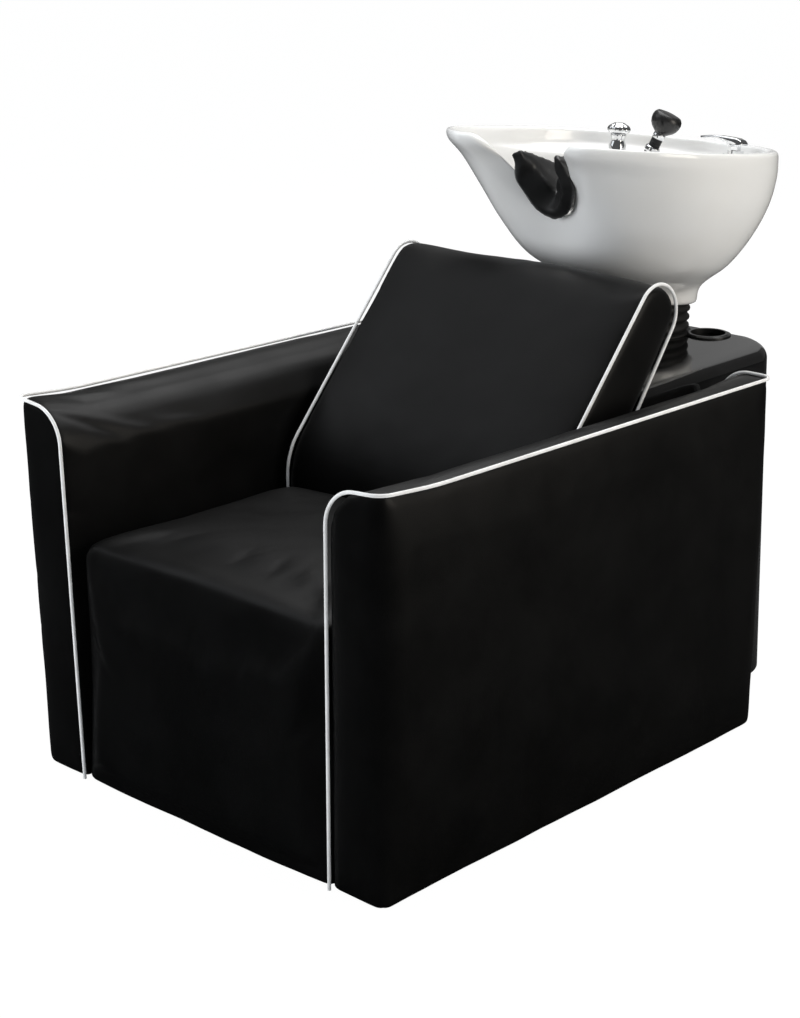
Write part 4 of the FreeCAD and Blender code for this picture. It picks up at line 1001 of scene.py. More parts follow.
@dataclass
class Backrest:
    """Leaning wedge cushion with piping round both side panels."""

    half: float = 0.253
    foot: Pair = (-0.157, 0.277)
    knee: Pair = (-0.161, 0.425)
    top: float = 0.7285
    round_top: float = 0.047
    lean: float = math.radians(49.0)
    rear_lean: float = math.radians(54.0)
    knee_bend: float = 0.100
    crown: float = 0.006
    draw: float = 0.003
    skin: float = 0.004
    piping: float = 0.0026
    swelling: float = 0.008
    crease: Pair = (0.002, 0.006)
    draw_knee: float = 0.8
    wave: Triple = (0.0025, 17.0, 0.6)
    foam: Sequence[Layer] = ((8.0, 0.0018, (1.0, 4.0, 0.0)), (24.0, 0.0005, (0.0, 0.0, 0.0)))

    def tangents(self, drop: float) -> Tuple[Pair, Pair, Pair, Pair]:
        """Places on the side outline.

        Args:
            drop: How far the top lies below its middle.

        Returns:
            Front tangent point, centre of the round top, rear tangent point and rear foot.
        """
        centre_z = self.top - drop - self.round_top
        knee_y = self.knee[0] + self.draw_knee * drop
        front_z = centre_z + self.round_top * math.cos(self.lean)
        front = (knee_y + (front_z - self.knee[1]) / math.tan(self.lean), front_z)
        centre = (front[0] + self.round_top * math.sin(self.lean), centre_z)
        rear = (centre[0] + self.round_top * math.sin(self.rear_lean),
                centre_z - self.round_top * math.cos(self.rear_lean))
        rear_foot = (rear[0] - (rear[1] - self.foot[1]) / math.tan(self.rear_lean), self.foot[1])
        return front, centre, rear, rear_foot

    def ridge(self, drop: float) -> Tuple[Pair, Pair]:
        """Front and rear corner that the round top is cut from.

        Args:
            drop: How far the top lies below its middle.

        Returns:
            The two corners.
        """
        front, centre, rear, rear_foot = self.tangents(drop)
        mean = (self.lean + self.rear_lean) / 2
        up = (math.cos(mean), math.sin(mean))
        level = centre[0] * up[0] + centre[1] * up[1] + self.round_top
        corners = []
        for place, lean in ((front, self.lean), (rear, self.rear_lean)):
            run = (level - place[0] * up[0] - place[1] * up[1]) / math.cos(lean - mean)
            corners.append((place[0] + run * math.cos(lean), place[1] + run * math.sin(lean)))
        return corners[0], corners[1]

    def seam(self, side: Side) -> SewnLine:
        """Route of the piping round one side panel.

        Args:
            side: Side of the panel.

        Returns:
            The route.
        """
        x, drop = side.value * self.half, self.draw
        front_top, rear_top = self.ridge(drop)
        rear_foot = self.tangents(drop)[3]
        knee = (self.knee[0] + self.draw_knee * drop, self.knee[1])
        corners = [(x, *self.foot), (x, *knee), (x, *front_top), (x, *rear_top), (x, *rear_foot)]
        return SewnLine(corners, [self.knee_bend, self.round_top, self.round_top])

    def block(self) -> bpy.types.Object:
        """Filling of the backrest before its cover is swollen.

        Returns:
            The piece.
        """
        front_top, rear_top = self.ridge(self.skin)
        rear_foot = self.tangents(self.skin)[3]
        outline = [self.foot, self.knee, front_top, rear_top, rear_foot]
        bm = prism([(-self.half, y, z) for y, z in outline], (2 * self.half, 0, 0))
        across = [edge for edge in bm.edges if abs(edge.verts[0].co.x - edge.verts[1].co.x) > self.half]
        high = [edge for edge in across if edge.verts[0].co.z > self.knee[1] + 0.1]
        bends = [edge for edge in across if abs(edge.verts[0].co.z - self.knee[1]) < 0.01]
        rounded(bm, high, self.round_top * 0.92, 8)
        rounded(bm, bends, 0.045, 6)
        return as_object(bm, "back_cover")

    def build(self) -> None:
        """Make and dress the cushion and its piping."""
        seams = {side: self.seam(side) for side in Side}
        trees = {side: seam.tree() for side, seam in seams.items()}
        cover = self.block()
        woven(cover, WEAVE)

        def near(place: Vector) -> float:
            """Distance to the nearer seam."""
            return trees[Side.RIGHT if place.x > 0 else Side.LEFT].find(place)[2]

        def hold(place: Vector) -> float:
            """Points at the seams and at the foot are held."""
            low = 1 - step_up(self.foot[1], self.foot[1] + 0.05, place.z)
            return max(1 - step_up(0.003, 0.02, near(place)), low)

        swell(cover, hold, self.swelling)
        sculpted(cover, self.crowned)
        for tree in trees.values():
            creased(cover, tree, *self.crease)
        sculpted(cover, self.hand_work)
        softened(cover)
        dressed(cover, VINYL, "chair", "backrest_cushion")
        for side, seam in seams.items():
            cord = seam.cord("piping_back_" + side.word, self.piping)
            dressed(cord, PIPING, "chair", "backrest_piping_" + side.word)
        LOG.info("backrest")

    def crowned(self, place: Vector, normal: Vector) -> Vector:
        """Crown across the width, drawn in at the side seams.

        Args:
            place: Point of the cover.
            normal: Its normal.

        Returns:
            Shift of the point.
        """
        share = min(1.0, abs(place.x) / self.half)
        level = self.crown * 0.5 * (1 - share ** 2) - self.draw * share ** 12
        facing = 1 - min(1.0, abs(normal.x)) ** 2
        rise = step_up(self.foot[1], self.foot[1] + 0.1, place.z)
        return normal * level * facing * rise

    def hand_work(self, place: Vector, normal: Vector) -> Vector:
        """Uneven foam and a gently wavy top edge.

        Args:
            place: Point of the cover.
            normal: Its normal.

        Returns:
            Shift of the point.
        """
        high = step_up(self.top - 0.06, self.top, place.z)
        depth, pitch, phase = self.wave
        wave = depth * math.sin(place.x * pitch + phase) * high
        return normal * uneven(place, self.foam) + Vector((0, 0, wave))


@dataclass
class Lean:
    """Lean of the bowl about its tilt axis."""

    axis_y: float = 0.434
    axis_z: float = 0.590
    angle: float = math.radians(5.8)

    def matrix(self) -> Matrix:
        """Matrix from the bowl's level frame to the shared frame."""
        return Matrix.Translation((0, self.axis_y, self.axis_z)) @ Matrix.Rotation(-self.angle, 4, "X")


LEAN = Lean()


@dataclass
class Bowl:
    """Glazed shampoo bowl with a neck notch, a tap deck and a round foot."""

    rim: float = 0.294
    half: float = 0.247
    front: float = -0.395
    rear: float = 0.125
    lip: float = 0.016
    floor: float = 0.080
    roundness: float = 2.4
    foot_base: float = 0.028
    foot_r: float = 0.085
    deck: float = 0.262
    notch_base: float = 0.175
    notch_r: float = 0.042
    notch_flare: float = math.radians(28.0)
    shoulder: float = 0.034
    dish: float = 0.036
    dish_half: float = 0.069
    dish_level: float = 0.195
    dish_reach: float = 0.075
    ridge: Triple = (0.11, 0.125, 0.035)
    roll: float = 0.016
    set_back: float = 0.04
    lip_drop: float = 0.009
    crowding: float = 1.6
    lip_rings: Sequence[Pair] = ((0.05, 0.0045), (0.2, 0.0012), (0.5, 0.0), (0.8, 0.0012), (0.95, 0.0045), (1.0, 0.009))
    deck_rings: Sequence[float] = (0.0, 0.25, 0.9)
    basin_rings: Sequence[float] = (0.04, 0.12, 0.24, 0.38, 0.52, 0.66, 0.79, 0.89, 0.96, 1.0)
    foot_rings: Pair = (0.060, 0.077)
    foot_hollow: Pair = (0.058, 0.048)
    steps: int = 176
    rows: int = 26
    stages: List[Row] = field(default_factory=lambda: [
        (0.0, 0.0, 0.0, 0.0), (0.10, 0.02, 0.03, 0.02), (0.16, 0.15, 0.29, 0.37), (0.26, 0.40, 0.48, 0.69),
        (0.45, 0.67, 0.60, 0.91), (0.67, 0.88, 0.72, 1.0), (0.86, 0.98, 0.870, 1.02), (0.94, 1.0, 0.982, 1.01),
        (1.0, 1.0, 1.0, 1.0)])
    basin: List[Row] = field(default_factory=lambda: [
        (0.0, 0.24, 0.24, 0.010), (0.11, 0.45, 0.42, -0.006), (0.33, 0.69, 0.61, -0.020),
        (0.66, 0.87, 0.79, -0.026), (1.176, 1.0, 1.0, -0.022)])

    @staticmethod
    def along(table: Sequence[Sequence[float]], share: float) -> List[float]:
        """Smooth values between the rows of a table.

        Args:
            table: Rows whose first column rises.
            share: Place in the first column.

        Returns:
            The other columns at that place.
        """
        share = min(max(share, table[0][0]), table[-1][0])
        index = next(number for number in range(len(table) - 1) if table[number + 1][0] >= share)
        low, high = table[index], table[index + 1]
        before, after = table[max(index - 1, 0)], table[min(index + 2, len(table) - 1)]
        span = high[0] - low[0]
        part = (share - low[0]) / span
        values = []
        for column in range(1, len(low)):
            start = (high[column] - before[column]) / max(high[0] - before[0], 1e-9) * span
            end = (after[column] - low[column]) / max(after[0] - low[0], 1e-9) * span
            square, cube = part * part, part * part * part
            values.append((2 * cube - 3 * square + 1) * low[column] + (cube - 2 * square + part) * start
                          + (3 * square - 2 * cube) * high[column] + (cube - square) * end)
        return values

    @staticmethod
    def outline(turn: float, half: float, front: float, rear: float, widest: float, power: float) -> Pair:
        """Point of a rounded outline with its own front and rear reach.

        Args:
            turn: Angle round the outline.
            half: Half width.
            front: Front reach.
            rear: Rear reach.
            widest: Place of the greatest width.
            power: Roundness.

        Returns:
            The point's X and Y.
        """
        side, back = math.cos(turn), math.sin(turn)
        reach = rear - widest if back > 0 else widest - front
        return (half * math.copysign(abs(side) ** (2 / power), side),
                widest + reach * math.copysign(abs(back) ** (2 / power), back))

    def outer(self, turn: float, level: float) -> Vector:
        """Point of the outside at a level.

        Args:
            turn: Angle round the bowl.
            level: Height in the bowl's level frame.

        Returns:
            The point.
        """
        share = (level - self.foot_base) / (self.rim - self.foot_base)
        wide, ahead, behind = self.along(self.stages, share)
        front = -self.foot_r + (self.front + self.foot_r) * ahead
        rear = self.foot_r + (self.rear - self.foot_r) * behind
        widest = (front + rear) / 2 - (self.front + self.rear) * self.set_back * ahead
        half = self.foot_r + (self.half - self.foot_r) * wide
        x, y = self.outline(turn, half, front, rear, widest, 2 + (self.roundness - 2) * clip(wide))
        return Vector((x, y + self.hollow(x, turn, level), level))

    def hollow(self, x: float, turn: float, level: float) -> float:
        """How far the front wall is drawn in below the notch, with a soft ridge at each horn.

        Args:
            x: Distance from the middle.
            turn: Angle round the bowl.
            level: Height in the bowl's level frame.

        Returns:
            The distance in metres.
        """
        rise, place, spread = self.ridge
        across = math.exp(-(x / self.dish_half) ** 2) - rise * math.exp(-((abs(x) - place) / spread) ** 2)
        upright = math.exp(-((level - self.dish_level) / self.dish_reach) ** 2)
        rolled = 1 - step_up(-0.005, 0.050, abs(x) - self.gap(level))
        rolled *= self.roll * step_up(self.notch_base - 0.01, self.notch_base + 0.05, level)
        return (self.dish * across * upright + rolled) * step_up(0.0, 0.5, -math.sin(turn))

    def gap(self, level: float) -> float:
        """Half width of the notch at a level.

        Args:
            level: Height in the bowl's level frame.

        Returns:
            The half width.
        """
        centre = self.notch_base + self.notch_r
        touch_z = self.notch_base + self.notch_r * (1 - math.sin(self.notch_flare))
        if level < touch_z:
            return math.sqrt(max(0.0, self.notch_r ** 2 - (centre - level) ** 2))
        return self.notch_r * math.cos(self.notch_flare) + (level - touch_z) * math.tan(self.notch_flare)

    def face(self, x: float, level: float) -> float:
        """Y of the front wall at a distance from the middle.

        Args:
            x: Distance from the middle.
            level: Height in the bowl's level frame.

        Returns:
            The Y coordinate.
        """
        low, high = -math.pi / 2, 0.0
        for _ in range(24):
            turn = (low + high) / 2
            if self.outer(turn, level).x < abs(x):
                low = turn
            else:
                high = turn
        return self.outer(low, level).y

    def inner(self, turn: float, level: float) -> Vector:
        """Point of the basin at a level.

        Args:
            turn: Angle round the bowl.
            level: Height in the bowl's level frame.

        Returns:
            The point.
        """
        share = (level - self.floor) / (self.deck - self.floor)
        wide, ahead, rear = self.along(self.basin, share)
        front = (self.front + self.lip) * ahead
        half = (self.half - self.lip) * wide
        x, y = self.outline(turn, half, front, rear, front * 0.42 + rear * 0.58,
                            2 + (self.roundness - 2) * clip(wide))
        return Vector((x, y + self.hollow(x, turn, level), level))

    def notch(self, x: float) -> float:
        """Height of the notch's edge at a distance from the middle.

        Args:
            x: Distance from the middle.

        Returns:
            The height.
        """
        centre = self.notch_base + self.notch_r
        touch = self.notch_r * math.cos(self.notch_flare)
        if abs(x) < touch:
            return centre - math.sqrt(self.notch_r ** 2 - x * x)
        return centre - self.notch_r * math.sin(self.notch_flare) + (abs(x) - touch) / math.tan(self.notch_flare)

    def brink(self, turn: float) -> float:
        """Height of the rim at an angle, lowered in the notch with round shoulders.

        Args:
            turn: Angle round the bowl.

        Returns:
            The height.
        """
        if math.sin(turn) > -0.2:
            return self.rim
        low, high = self.notch_base - 0.01, self.rim
        for _ in range(30):
            level = (low + high) / 2
            if self.notch(self.outer(turn, level).x) > level:
                low = level
            else:
                high = level
        blend = self.shoulder
        edge = max(low, self.notch(self.outer(turn, self.rim).x) if low > self.rim - 1e-5 else low)
        share = clip(0.5 + 0.5 * (self.rim - edge) / blend)
        return self.rim * (1 - share) + edge * share - blend * share * (1 - share)

    def rings(self) -> List[Callable[[float], Vector]]:
        """Rules for the rings from the foot over the rim to the basin's floor.

        Returns:
            One rule for each ring, from angle to point.
        """
        rules: List[Callable[[float], Vector]] = []

        def foot_ring(radius: float, level: float) -> Callable[[float], Vector]:
            """Round ring under the foot."""
            return lambda turn: Vector((radius * math.cos(turn), radius * math.sin(turn), level))

        def wall(share: float) -> Callable[[float], Vector]:
            """Ring of the outside at a share of the way to the rim."""
            return lambda turn: self.outer(
                turn, self.foot_base + (self.brink(turn) - self.lip_drop - self.foot_base) * share)

        def deck(share: float) -> Callable[[float], Vector]:
            """Ring of the tap deck at a share of the way across."""
            return lambda turn: self.ledge(turn, share)

        def lip(across: float, drop: float) -> Callable[[float], Vector]:
            """Ring over the round lip.

            Args:
                across: Share of the way from the outside to the basin.
                drop: Depth below the rim.

            Returns:
                The ring's rule.
            """
            def rule(turn: float) -> Vector:
                """Place on the lip.

                Args:
                    turn: Angle round the bowl.

                Returns:
                    The point.
                """
                level = self.brink(turn) - drop
                start, end = self.outer(turn, level), self.inset(turn, level)
                return start.lerp(end, across)
            return rule

        def inside(share: float) -> Callable[[float], Vector]:
            """Ring of the basin at a share of the way down.

            Args:
                share: Share of the way to the floor.

            Returns:
                The ring's rule.
            """
            def rule(turn: float) -> Vector:
                """Place on the basin's wall."""
                top = min(self.deck, self.brink(turn) - 0.016)
                return self.inner(turn, top + (self.floor - top) * share)
            return rule

        rules += [foot_ring(*self.foot_hollow)] + [foot_ring(radius, self.foot_base) for radius in self.foot_rings]
        rules += [wall(0.012)] + [wall(row / self.rows) for row in range(1, self.rows + 1)]
        rules += [lip(across, drop) for across, drop in self.lip_rings]
        rules += [deck(share) for share in self.deck_rings]
        rules += [inside(share) for share in self.basin_rings]
        return rules

    def inset(self, turn: float, level: float) -> Vector:
        """Inner edge of the lip: the outline set in, or the basin's wall in front.

        Args:
            turn: Angle round the bowl.
            level: Height in the bowl's level frame.

        Returns:
            The point.
        """
        start, wall = self.outer(turn, level), self.inner(turn, level)
        x, y = self.outline(turn, self.half - self.lip, self.front + self.lip, self.rear - self.lip,
                            (self.front + self.rear) * (0.5 - self.set_back), self.roundness)
        behind = step_up(-0.16, -0.02, start.y)
        return wall.lerp(Vector((x, y, level)), behind)

    def ledge(self, turn: float, share: float) -> Vector:
        """Tap deck behind the basin, which shrinks to nothing in front.

        Args:
            turn: Angle round the bowl.
            share: Share of the way across the deck.

        Returns:
            The point.
        """
        top = min(self.deck + 0.003, self.brink(turn) - 0.011)
        start = self.inset(turn, top)
        end = self.inner(turn, min(self.deck, self.brink(turn) - 0.014))
        return start.lerp(end, share)

    def crowded(self, away: float) -> float:
        """Angle round the bowl, with the steps set closer together at the notch."""
        return math.copysign(math.pi * (abs(away) / math.pi) ** self.crowding, away) - math.pi / 2

    def build(self) -> None:
        """Make and dress the bowl."""
        bm = bmesh.new()
        turns = bm.verts.layers.float.new("turn")
        ring = bmesh.ops.create_circle(bm, cap_ends=False, radius=1.0, segments=self.steps)["verts"]
        for vert in ring:
            vert[turns] = self.crowded(math.atan2(vert.co.x, -vert.co.y))
        edges = bm.edges[:]
        for number, rule in enumerate(self.rings()):
            if number:
                ring = grown(bmesh.ops.extrude_edge_only(bm, edges=edges))
                edges = [edge for edge in dict.fromkeys(edge for vert in ring for edge in vert.link_edges)
                         if edge.is_boundary]
            for vert in ring:
                vert.co = rule(vert[turns])
        capped(bm)
        bmesh.ops.poke(bm, faces=[face for face in bm.faces if len(face.verts) > 4])
        bm.transform(LEAN.matrix())
        bowl = as_object(bm, "ceramic_bowl")
        softened(bowl)
        dressed(bowl, GLAZE, "bowl", "bowl")
        LOG.info("bowl")


@dataclass
class NeckRest:
    """Gel saddle that lines the notch."""

    bowl: Bowl
    thick: float = 0.020
    top: float = 0.264
    ahead: float = 0.012
    hook: float = 0.028
    depth: float = 0.085
    wing_depth: float = 0.150
    lag: float = 0.022
    flare: float = 0.020
    fall: Pair = (0.028, 0.035)
    grid: Tuple[int, int] = (40, 10)
    pitch: float = 0.004
    foam: Sequence[Layer] = ((30.0, 0.0012, (0.0, 0.0, 0.0)),)

    def build(self) -> None:
        """Make and dress the saddle."""
        bm = bmesh.new()
        bmesh.ops.create_grid(bm, x_segments=self.grid[0], y_segments=self.grid[1], size=1.0)
        for vert in bm.verts:
            vert.co = self.spot(vert.co.x, vert.co.y)
        bmesh.ops.recalc_face_normals(bm, faces=bm.faces[:])
        if sum(face.normal.z for face in bm.faces) > 0:
            bmesh.ops.reverse_faces(bm, faces=bm.faces[:])
        bmesh.ops.solidify(bm, geom=bm.faces[:], thickness=self.thick)
        tidy_normals(bm)
        rest = as_object(bm, "neck_saddle")
        woven(rest, self.pitch)
        sculpted(rest, lambda place, normal: normal * uneven(place, self.foam))
        for vertex in rest.data.vertices:
            vertex.co = LEAN.matrix() @ vertex.co
        modifier = rest.modifiers.new("Soft", "SMOOTH")
        modifier.iterations = 6
        softened(rest)
        dressed(rest, GEL, "bowl", "neck_rest")
        LOG.info("neck rest")

    def spot(self, across: float, along: float) -> Vector:
        """Point of the saddle's inner sheet.

        Args:
            across: From -1 at the left wing to 1 at the right.
            along: From -1 at the front to 1 at the rear.

        Returns:
            The point in the bowl's level frame.
        """
        shape, share, inward = self.bowl, abs(across), (along + 1) / 2
        over_lip = (1 - step_up(0.0, 0.22, inward)) * (1 - step_up(0.62, 1.0, share))
        radius = shape.notch_r - self.thick + self.hook * over_lip
        centre = shape.notch_base + shape.notch_r
        arc = math.pi / 2 - shape.notch_flare
        touch_z = centre - radius * math.sin(shape.notch_flare)
        leg = (self.top - touch_z) / math.cos(shape.notch_flare)
        total = radius * arc + leg
        run = share * total
        if run < radius * arc:
            angle = run / radius
            x, z = radius * math.sin(angle), centre - radius * math.cos(angle)
        else:
            over = run - radius * arc
            x = radius * math.cos(shape.notch_flare) + over * math.sin(shape.notch_flare)
            z = touch_z + over * math.cos(shape.notch_flare)
        front = shape.face(x, z) - self.ahead + self.lag * step_up(0.45, 1.0, share)
        depth = self.depth + (self.wing_depth - self.depth) * share
        fall = self.fall[0] + (self.fall[1] - self.fall[0]) * share
        return Vector((math.copysign(x + self.flare * share * inward, across), front + inward * depth,
                       z - inward * fall))


def lathe(profile: Sequence[Pair], steps: int = 48) -> bmesh.types.BMesh:
    """Body of revolution about the Z axis.

    Args:
        profile: Radius and height of each corner, from one end to the other.
        steps: Number of faces round it.

    Returns:
        The closed mesh.
    """
    bm = bmesh.new()
    verts = [bm.verts.new((radius, 0, height)) for radius, height in profile]
    edges = [bm.edges.new(pair) for pair in zip(verts, verts[1:])]
    bmesh.ops.spin(bm, geom=verts + edges, cent=(0, 0, 0), axis=(0, 0, 1), dvec=(0, 0, 0),
                   angle=2 * math.pi, steps=steps, use_merge=True, use_duplicate=False)
    bmesh.ops.remove_doubles(bm, verts=bm.verts[:], dist=MERGE)
    capped(bm)
    return bm


@dataclass
class Bellows:
    """Ribbed rubber boot between the tray and the bowl's foot."""

    low: float = -0.0248
    high: float = 0.0285
    radius: float = 0.076
    depth: float = 0.006
    flange: float = 0.004
    ribs: int = 3

    def build(self) -> None:
        """Make and dress the boot, which bends between the chair and the bowl."""
        profile: List[Pair] = [(0.0, 0.056), (0.0, self.radius + self.flange), (0.05, self.radius + self.flange),
                               (0.07, self.radius - self.depth)]
        span = 0.9 / self.ribs
        for rib in range(self.ribs):
            start = 0.07 + span * rib
            for place, out in ((0.18, 0.55), (0.34, 0.92), (0.5, 1.0), (0.66, 0.92), (0.82, 0.55), (1.0, 0.0)):
                profile.append((start + span * place, self.radius - self.depth * (1 - out)))
        profile += [(1.0, self.radius - self.depth), (1.0, 0.056)]
        bm = lathe([(radius, self.low + (self.high - self.low) * share) for share, radius in profile], 64)
        for vert in bm.verts:
            share = (vert.co.z - self.low) / (self.high - self.low)
            vert.co = Matrix.Rotation(-LEAN.angle * share, 3, "X") @ vert.co + Vector((0, LEAN.axis_y, LEAN.axis_z))
        boot = as_object(bm, "rubber_bellows")
        eased(boot, 0.0006)
        dressed(boot, RUBBER, "", "bellows")
        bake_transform(boot)
        LOG.info("bellows")


@dataclass(frozen=True)
class Turned:
    """A lathe-turned piece of a tap, with the body and the node that it stands for."""

    name: str
    node: str
    body: str
    finish: Finish
    profile: Sequence[Pair]
    ease: float = 0.0012
    segments: int = 3

    def build(self, place: Matrix) -> None:
        """Make the piece in its place and dress it.

        Args:
            place: Matrix from the piece's own frame to the shared frame.
        """
        bm = lathe(self.profile)
        bm.transform(place)
        piece = as_object(bm, self.name)
        eased(piece, self.ease, self.segments)
        dressed(piece, self.finish, self.body, self.node)


BREAKER = Turned("breaker_body", "vacuum_breaker_body", "bowl", CHROME, (
    (0.0, -0.046), (0.011, -0.046), (0.011, 0.0), (0.019, 0.0), (0.019, 0.0035), (0.0155, 0.005), (0.015, 0.016),
    (0.012, 0.022), (0.0115, 0.027), (0.0135, 0.031), (0.0135, 0.034), (0.011, 0.036), (0.0, 0.036)))
MIXER = Turned("tap_body", "mixer_body", "bowl", CHROME, (
    (0.0, -0.046), (0.015, -0.046), (0.015, 0.0), (0.026, 0.0), (0.026, 0.002), (0.0225, 0.004), (0.022, 0.005),
    (0.022, 0.016), (0.020, 0.018), (0.0, 0.018)))
SPRAY = (
    Turned("spray_socket", "spray_guide", "bowl", CHROME, (
        (0.0, -0.034), (0.012, -0.034), (0.012, 0.012), (0.0135, 0.014), (0.0135, 0.020), (0.012, 0.022),
        (0.0082, 0.022), (0.0082, 0.010), (0.0, 0.010)), 0.0008),
    Turned("spray_ring", "spray_collar", "hand_spray", CHROME, (
        (0.0, 0.036), (0.0095, 0.036), (0.0105, 0.0375), (0.0105, 0.0445), (0.0098, 0.046), (0.0, 0.046))),
    Turned("spray_bell", "spray_head", "hand_spray", PLASTIC, (
        (0.0, 0.046), (0.0100, 0.046), (0.0138, 0.049), (0.0192, 0.0535), (0.0232, 0.0590), (0.0254, 0.0655),
        (0.0258, 0.0715), (0.0246, 0.0765), (0.0216, 0.0803), (0.0200, 0.0813), (0.0192, 0.0800),
        (0.0, 0.0800)), 0.0006),
    Turned("spray_plate", "spray_face", "hand_spray", PLASTIC, (
        (0.0, 0.0800), (0.0188, 0.0800), (0.0186, 0.0814), (0.0130, 0.0824), (0.0, 0.0828)), 0.0005, 2),
    Turned("spray_sleeve", "spray_boot", "hand_spray", RUBBER, (
        (0.0076, 0.0225), (0.0095, 0.0225), (0.0095, 0.0255), (0.0086, 0.0265), (0.0095, 0.0275), (0.0095, 0.030),
        (0.0086, 0.031), (0.0095, 0.032), (0.0095, 0.0358), (0.0076, 0.0358)), 0.0004))


@dataclass
class Taps:
    """Mixer, vacuum breaker and hand spray on the tap deck."""

    row: float = 0.046
    deck: float = 0.262
    mixer_x: float = 0.118
    lever_axis: float = 0.296
    lever_reach: float = 0.068
    lever_half: float = 0.010
    lever_edge: float = 0.0022
    lever_taper: Pair = (0.3, -0.02)
    breaker_x: float = -0.122
    cap_lobes: int = 10
    lobe_from: float = 0.014
    lobe_depth: float = 0.05
    spray_x: float = -0.056
    spray_lean: float = math.radians(22.0)
    spray_turn: float = math.radians(20.0)
    sink: float = 0.006

    def upright(self, x: float, sink: float = 0.0) -> Matrix:
        """Matrix of a tap that stands on the deck, or is let into it."""
        return LEAN.matrix() @ Matrix.Translation((x, self.row, self.deck - sink))

    def aimed(self) -> Matrix:
        """Matrix of the leaning hand spray.

        Returns:
            Matrix from the spray's own frame to the shared frame.
        """
        axis = Vector((math.sin(self.spray_lean) * math.cos(self.spray_turn),
                       math.sin(self.spray_lean) * math.sin(self.spray_turn), math.cos(self.spray_lean)))
        return self.upright(self.spray_x, self.sink) @ Vector((0, 0, 1)).rotation_difference(axis).to_matrix().to_4x4()

    def build(self) -> None:
        """Make and dress all the taps."""
        self.build_breaker()
        self.build_mixer()
        for piece in SPRAY:
            piece.build(self.aimed())
        LOG.info("taps")

    def build_breaker(self) -> None:
        """Vacuum breaker with a waisted body and a lobed cap."""
        place = self.upright(self.breaker_x, self.sink)
        BREAKER.build(place)
        bm = lathe([(0.0, 0.036), (0.015, 0.036), (0.0185, 0.038), (0.0195, 0.042), (0.0185, 0.046),
                    (0.0145, 0.050), (0.0105, 0.0515), (0.0095, 0.0535), (0.0, 0.054)], 60)
        for vert in bm.verts:
            if math.hypot(vert.co.x, vert.co.y) > self.lobe_from:
                lobe = 1 + self.lobe_depth * math.cos(self.cap_lobes * math.atan2(vert.co.y, vert.co.x))
                vert.co.x *= lobe
                vert.co.y *= lobe
        bm.transform(place)
        cap = as_object(bm, "breaker_cap")
        softened(cap)
        dressed(cap, CHROME, "bowl", "vacuum_breaker_cap")

    def build_mixer(self) -> None:
        """Mixer body and its curved lever; the cap keeps its CAD form."""
        place = self.upright(self.mixer_x)
        MIXER.build(place)
        reach, half = self.lever_reach, self.lever_half
        top = [(0.0168, -0.0008), (0.0160, 0.003), (0.012, 0.007), (0.004, 0.0098), (-0.010, 0.0108),
               (-0.030, 0.0114), (-0.050, 0.0104), (-reach, 0.0078)]
        under = [(-reach, 0.0045), (-0.048, 0.0058), (-0.030, 0.0048), (-0.0145, 0.001), (-0.0105, -0.005)]
        bm = prism([(x, -half, z) for x, z in top + under], (0, 2 * half, 0))
        taper, start = self.lever_taper
        for vert in bm.verts:
            if vert.co.x < start:
                vert.co.y *= 1 - taper * step_up(start, -reach, vert.co.x)
        rims = [edge for edge in bm.edges if abs(edge.verts[0].co.y - edge.verts[1].co.y) < half * 0.4]
        rounded(bm, rims, self.lever_edge, 3)
        lift = Matrix.Translation((0, 0, self.lever_axis - self.deck))
        bm.transform(place @ lift)
        dressed(as_object(bm, "tap_lever"), CHROME, "mixer_lever", "mixer_lever")


def merged_copy(node: str, name: str, angle: float = 28.0) -> bpy.types.Object:
    """Welded, smooth copy of a CAD node.

    Args:
        node: Node to copy.
        name: Name of the copy.
        angle: Angle in degrees above which an edge stays sharp.

    Returns:
        The copy.
    """
    bm = bmesh.new()
    bm.from_mesh(frame["nodes"][node].data)
    bm.transform(frame["nodes"][node].matrix_world)
    bmesh.ops.remove_doubles(bm, verts=bm.verts[:], dist=1e-5)
    bmesh.ops.dissolve_limit(bm, angle_limit=math.radians(0.5), verts=bm.verts[:], edges=bm.edges[:])
    copy = as_object(bm, name)
    copy.data.set_sharp_from_angle(angle=math.radians(angle))
    return copy


@dataclass
class Housing:
    """Gloss housing with its tray and service panel."""

    half: float = 0.248
    rear: float = 0.532
    cad_corner: float = 0.095
    foot_corner: float = 0.112
    corner: float = 0.140
    flare: Pair = (0.055, 0.110)

    def build(self) -> None:
        """Weld the CAD forms, round the shell's rear corners further and dress both."""
        shell = merged_copy("housing_shell", "gloss_housing")
        sculpted(shell, self.rounder)
        dressed(shell, MOULDING, "chair", "housing_shell")
        dressed(merged_copy("service_panel", "rear_panel"), MOULDING, "chair", "service_panel")
        LOG.info("housing")

    def rounder(self, place: Vector, normal: Vector) -> Vector:
        """Draw a rear corner in to its larger radius.

        Args:
            place: Point of the shell.
            normal: Its normal, which isn't used.

        Returns:
            Shift of the point.
        """
        corner = self.foot_corner + (self.corner - self.foot_corner) * step_up(*self.flare, place.z)
        local = Vector((abs(place.x) - self.half + corner, place.y - self.rear + corner))
        if min(local) <= 0:
            return Vector((0, 0, 0))
        away = local.normalized()
        centre = Vector((1, 1)) * (corner - self.cad_corner)
        reach = away.dot(centre) + math.sqrt(away.dot(centre) ** 2 - centre.length_squared + self.cad_corner ** 2)
        reach = corner / max(away) if min(reach * away) < centre.x else reach
        pull = step_up(0.68, 0.95, local.length / reach) * (corner / reach - 1)
        return Vector((math.copysign(1, place.x) * local.x * pull, local.y * pull, 0))


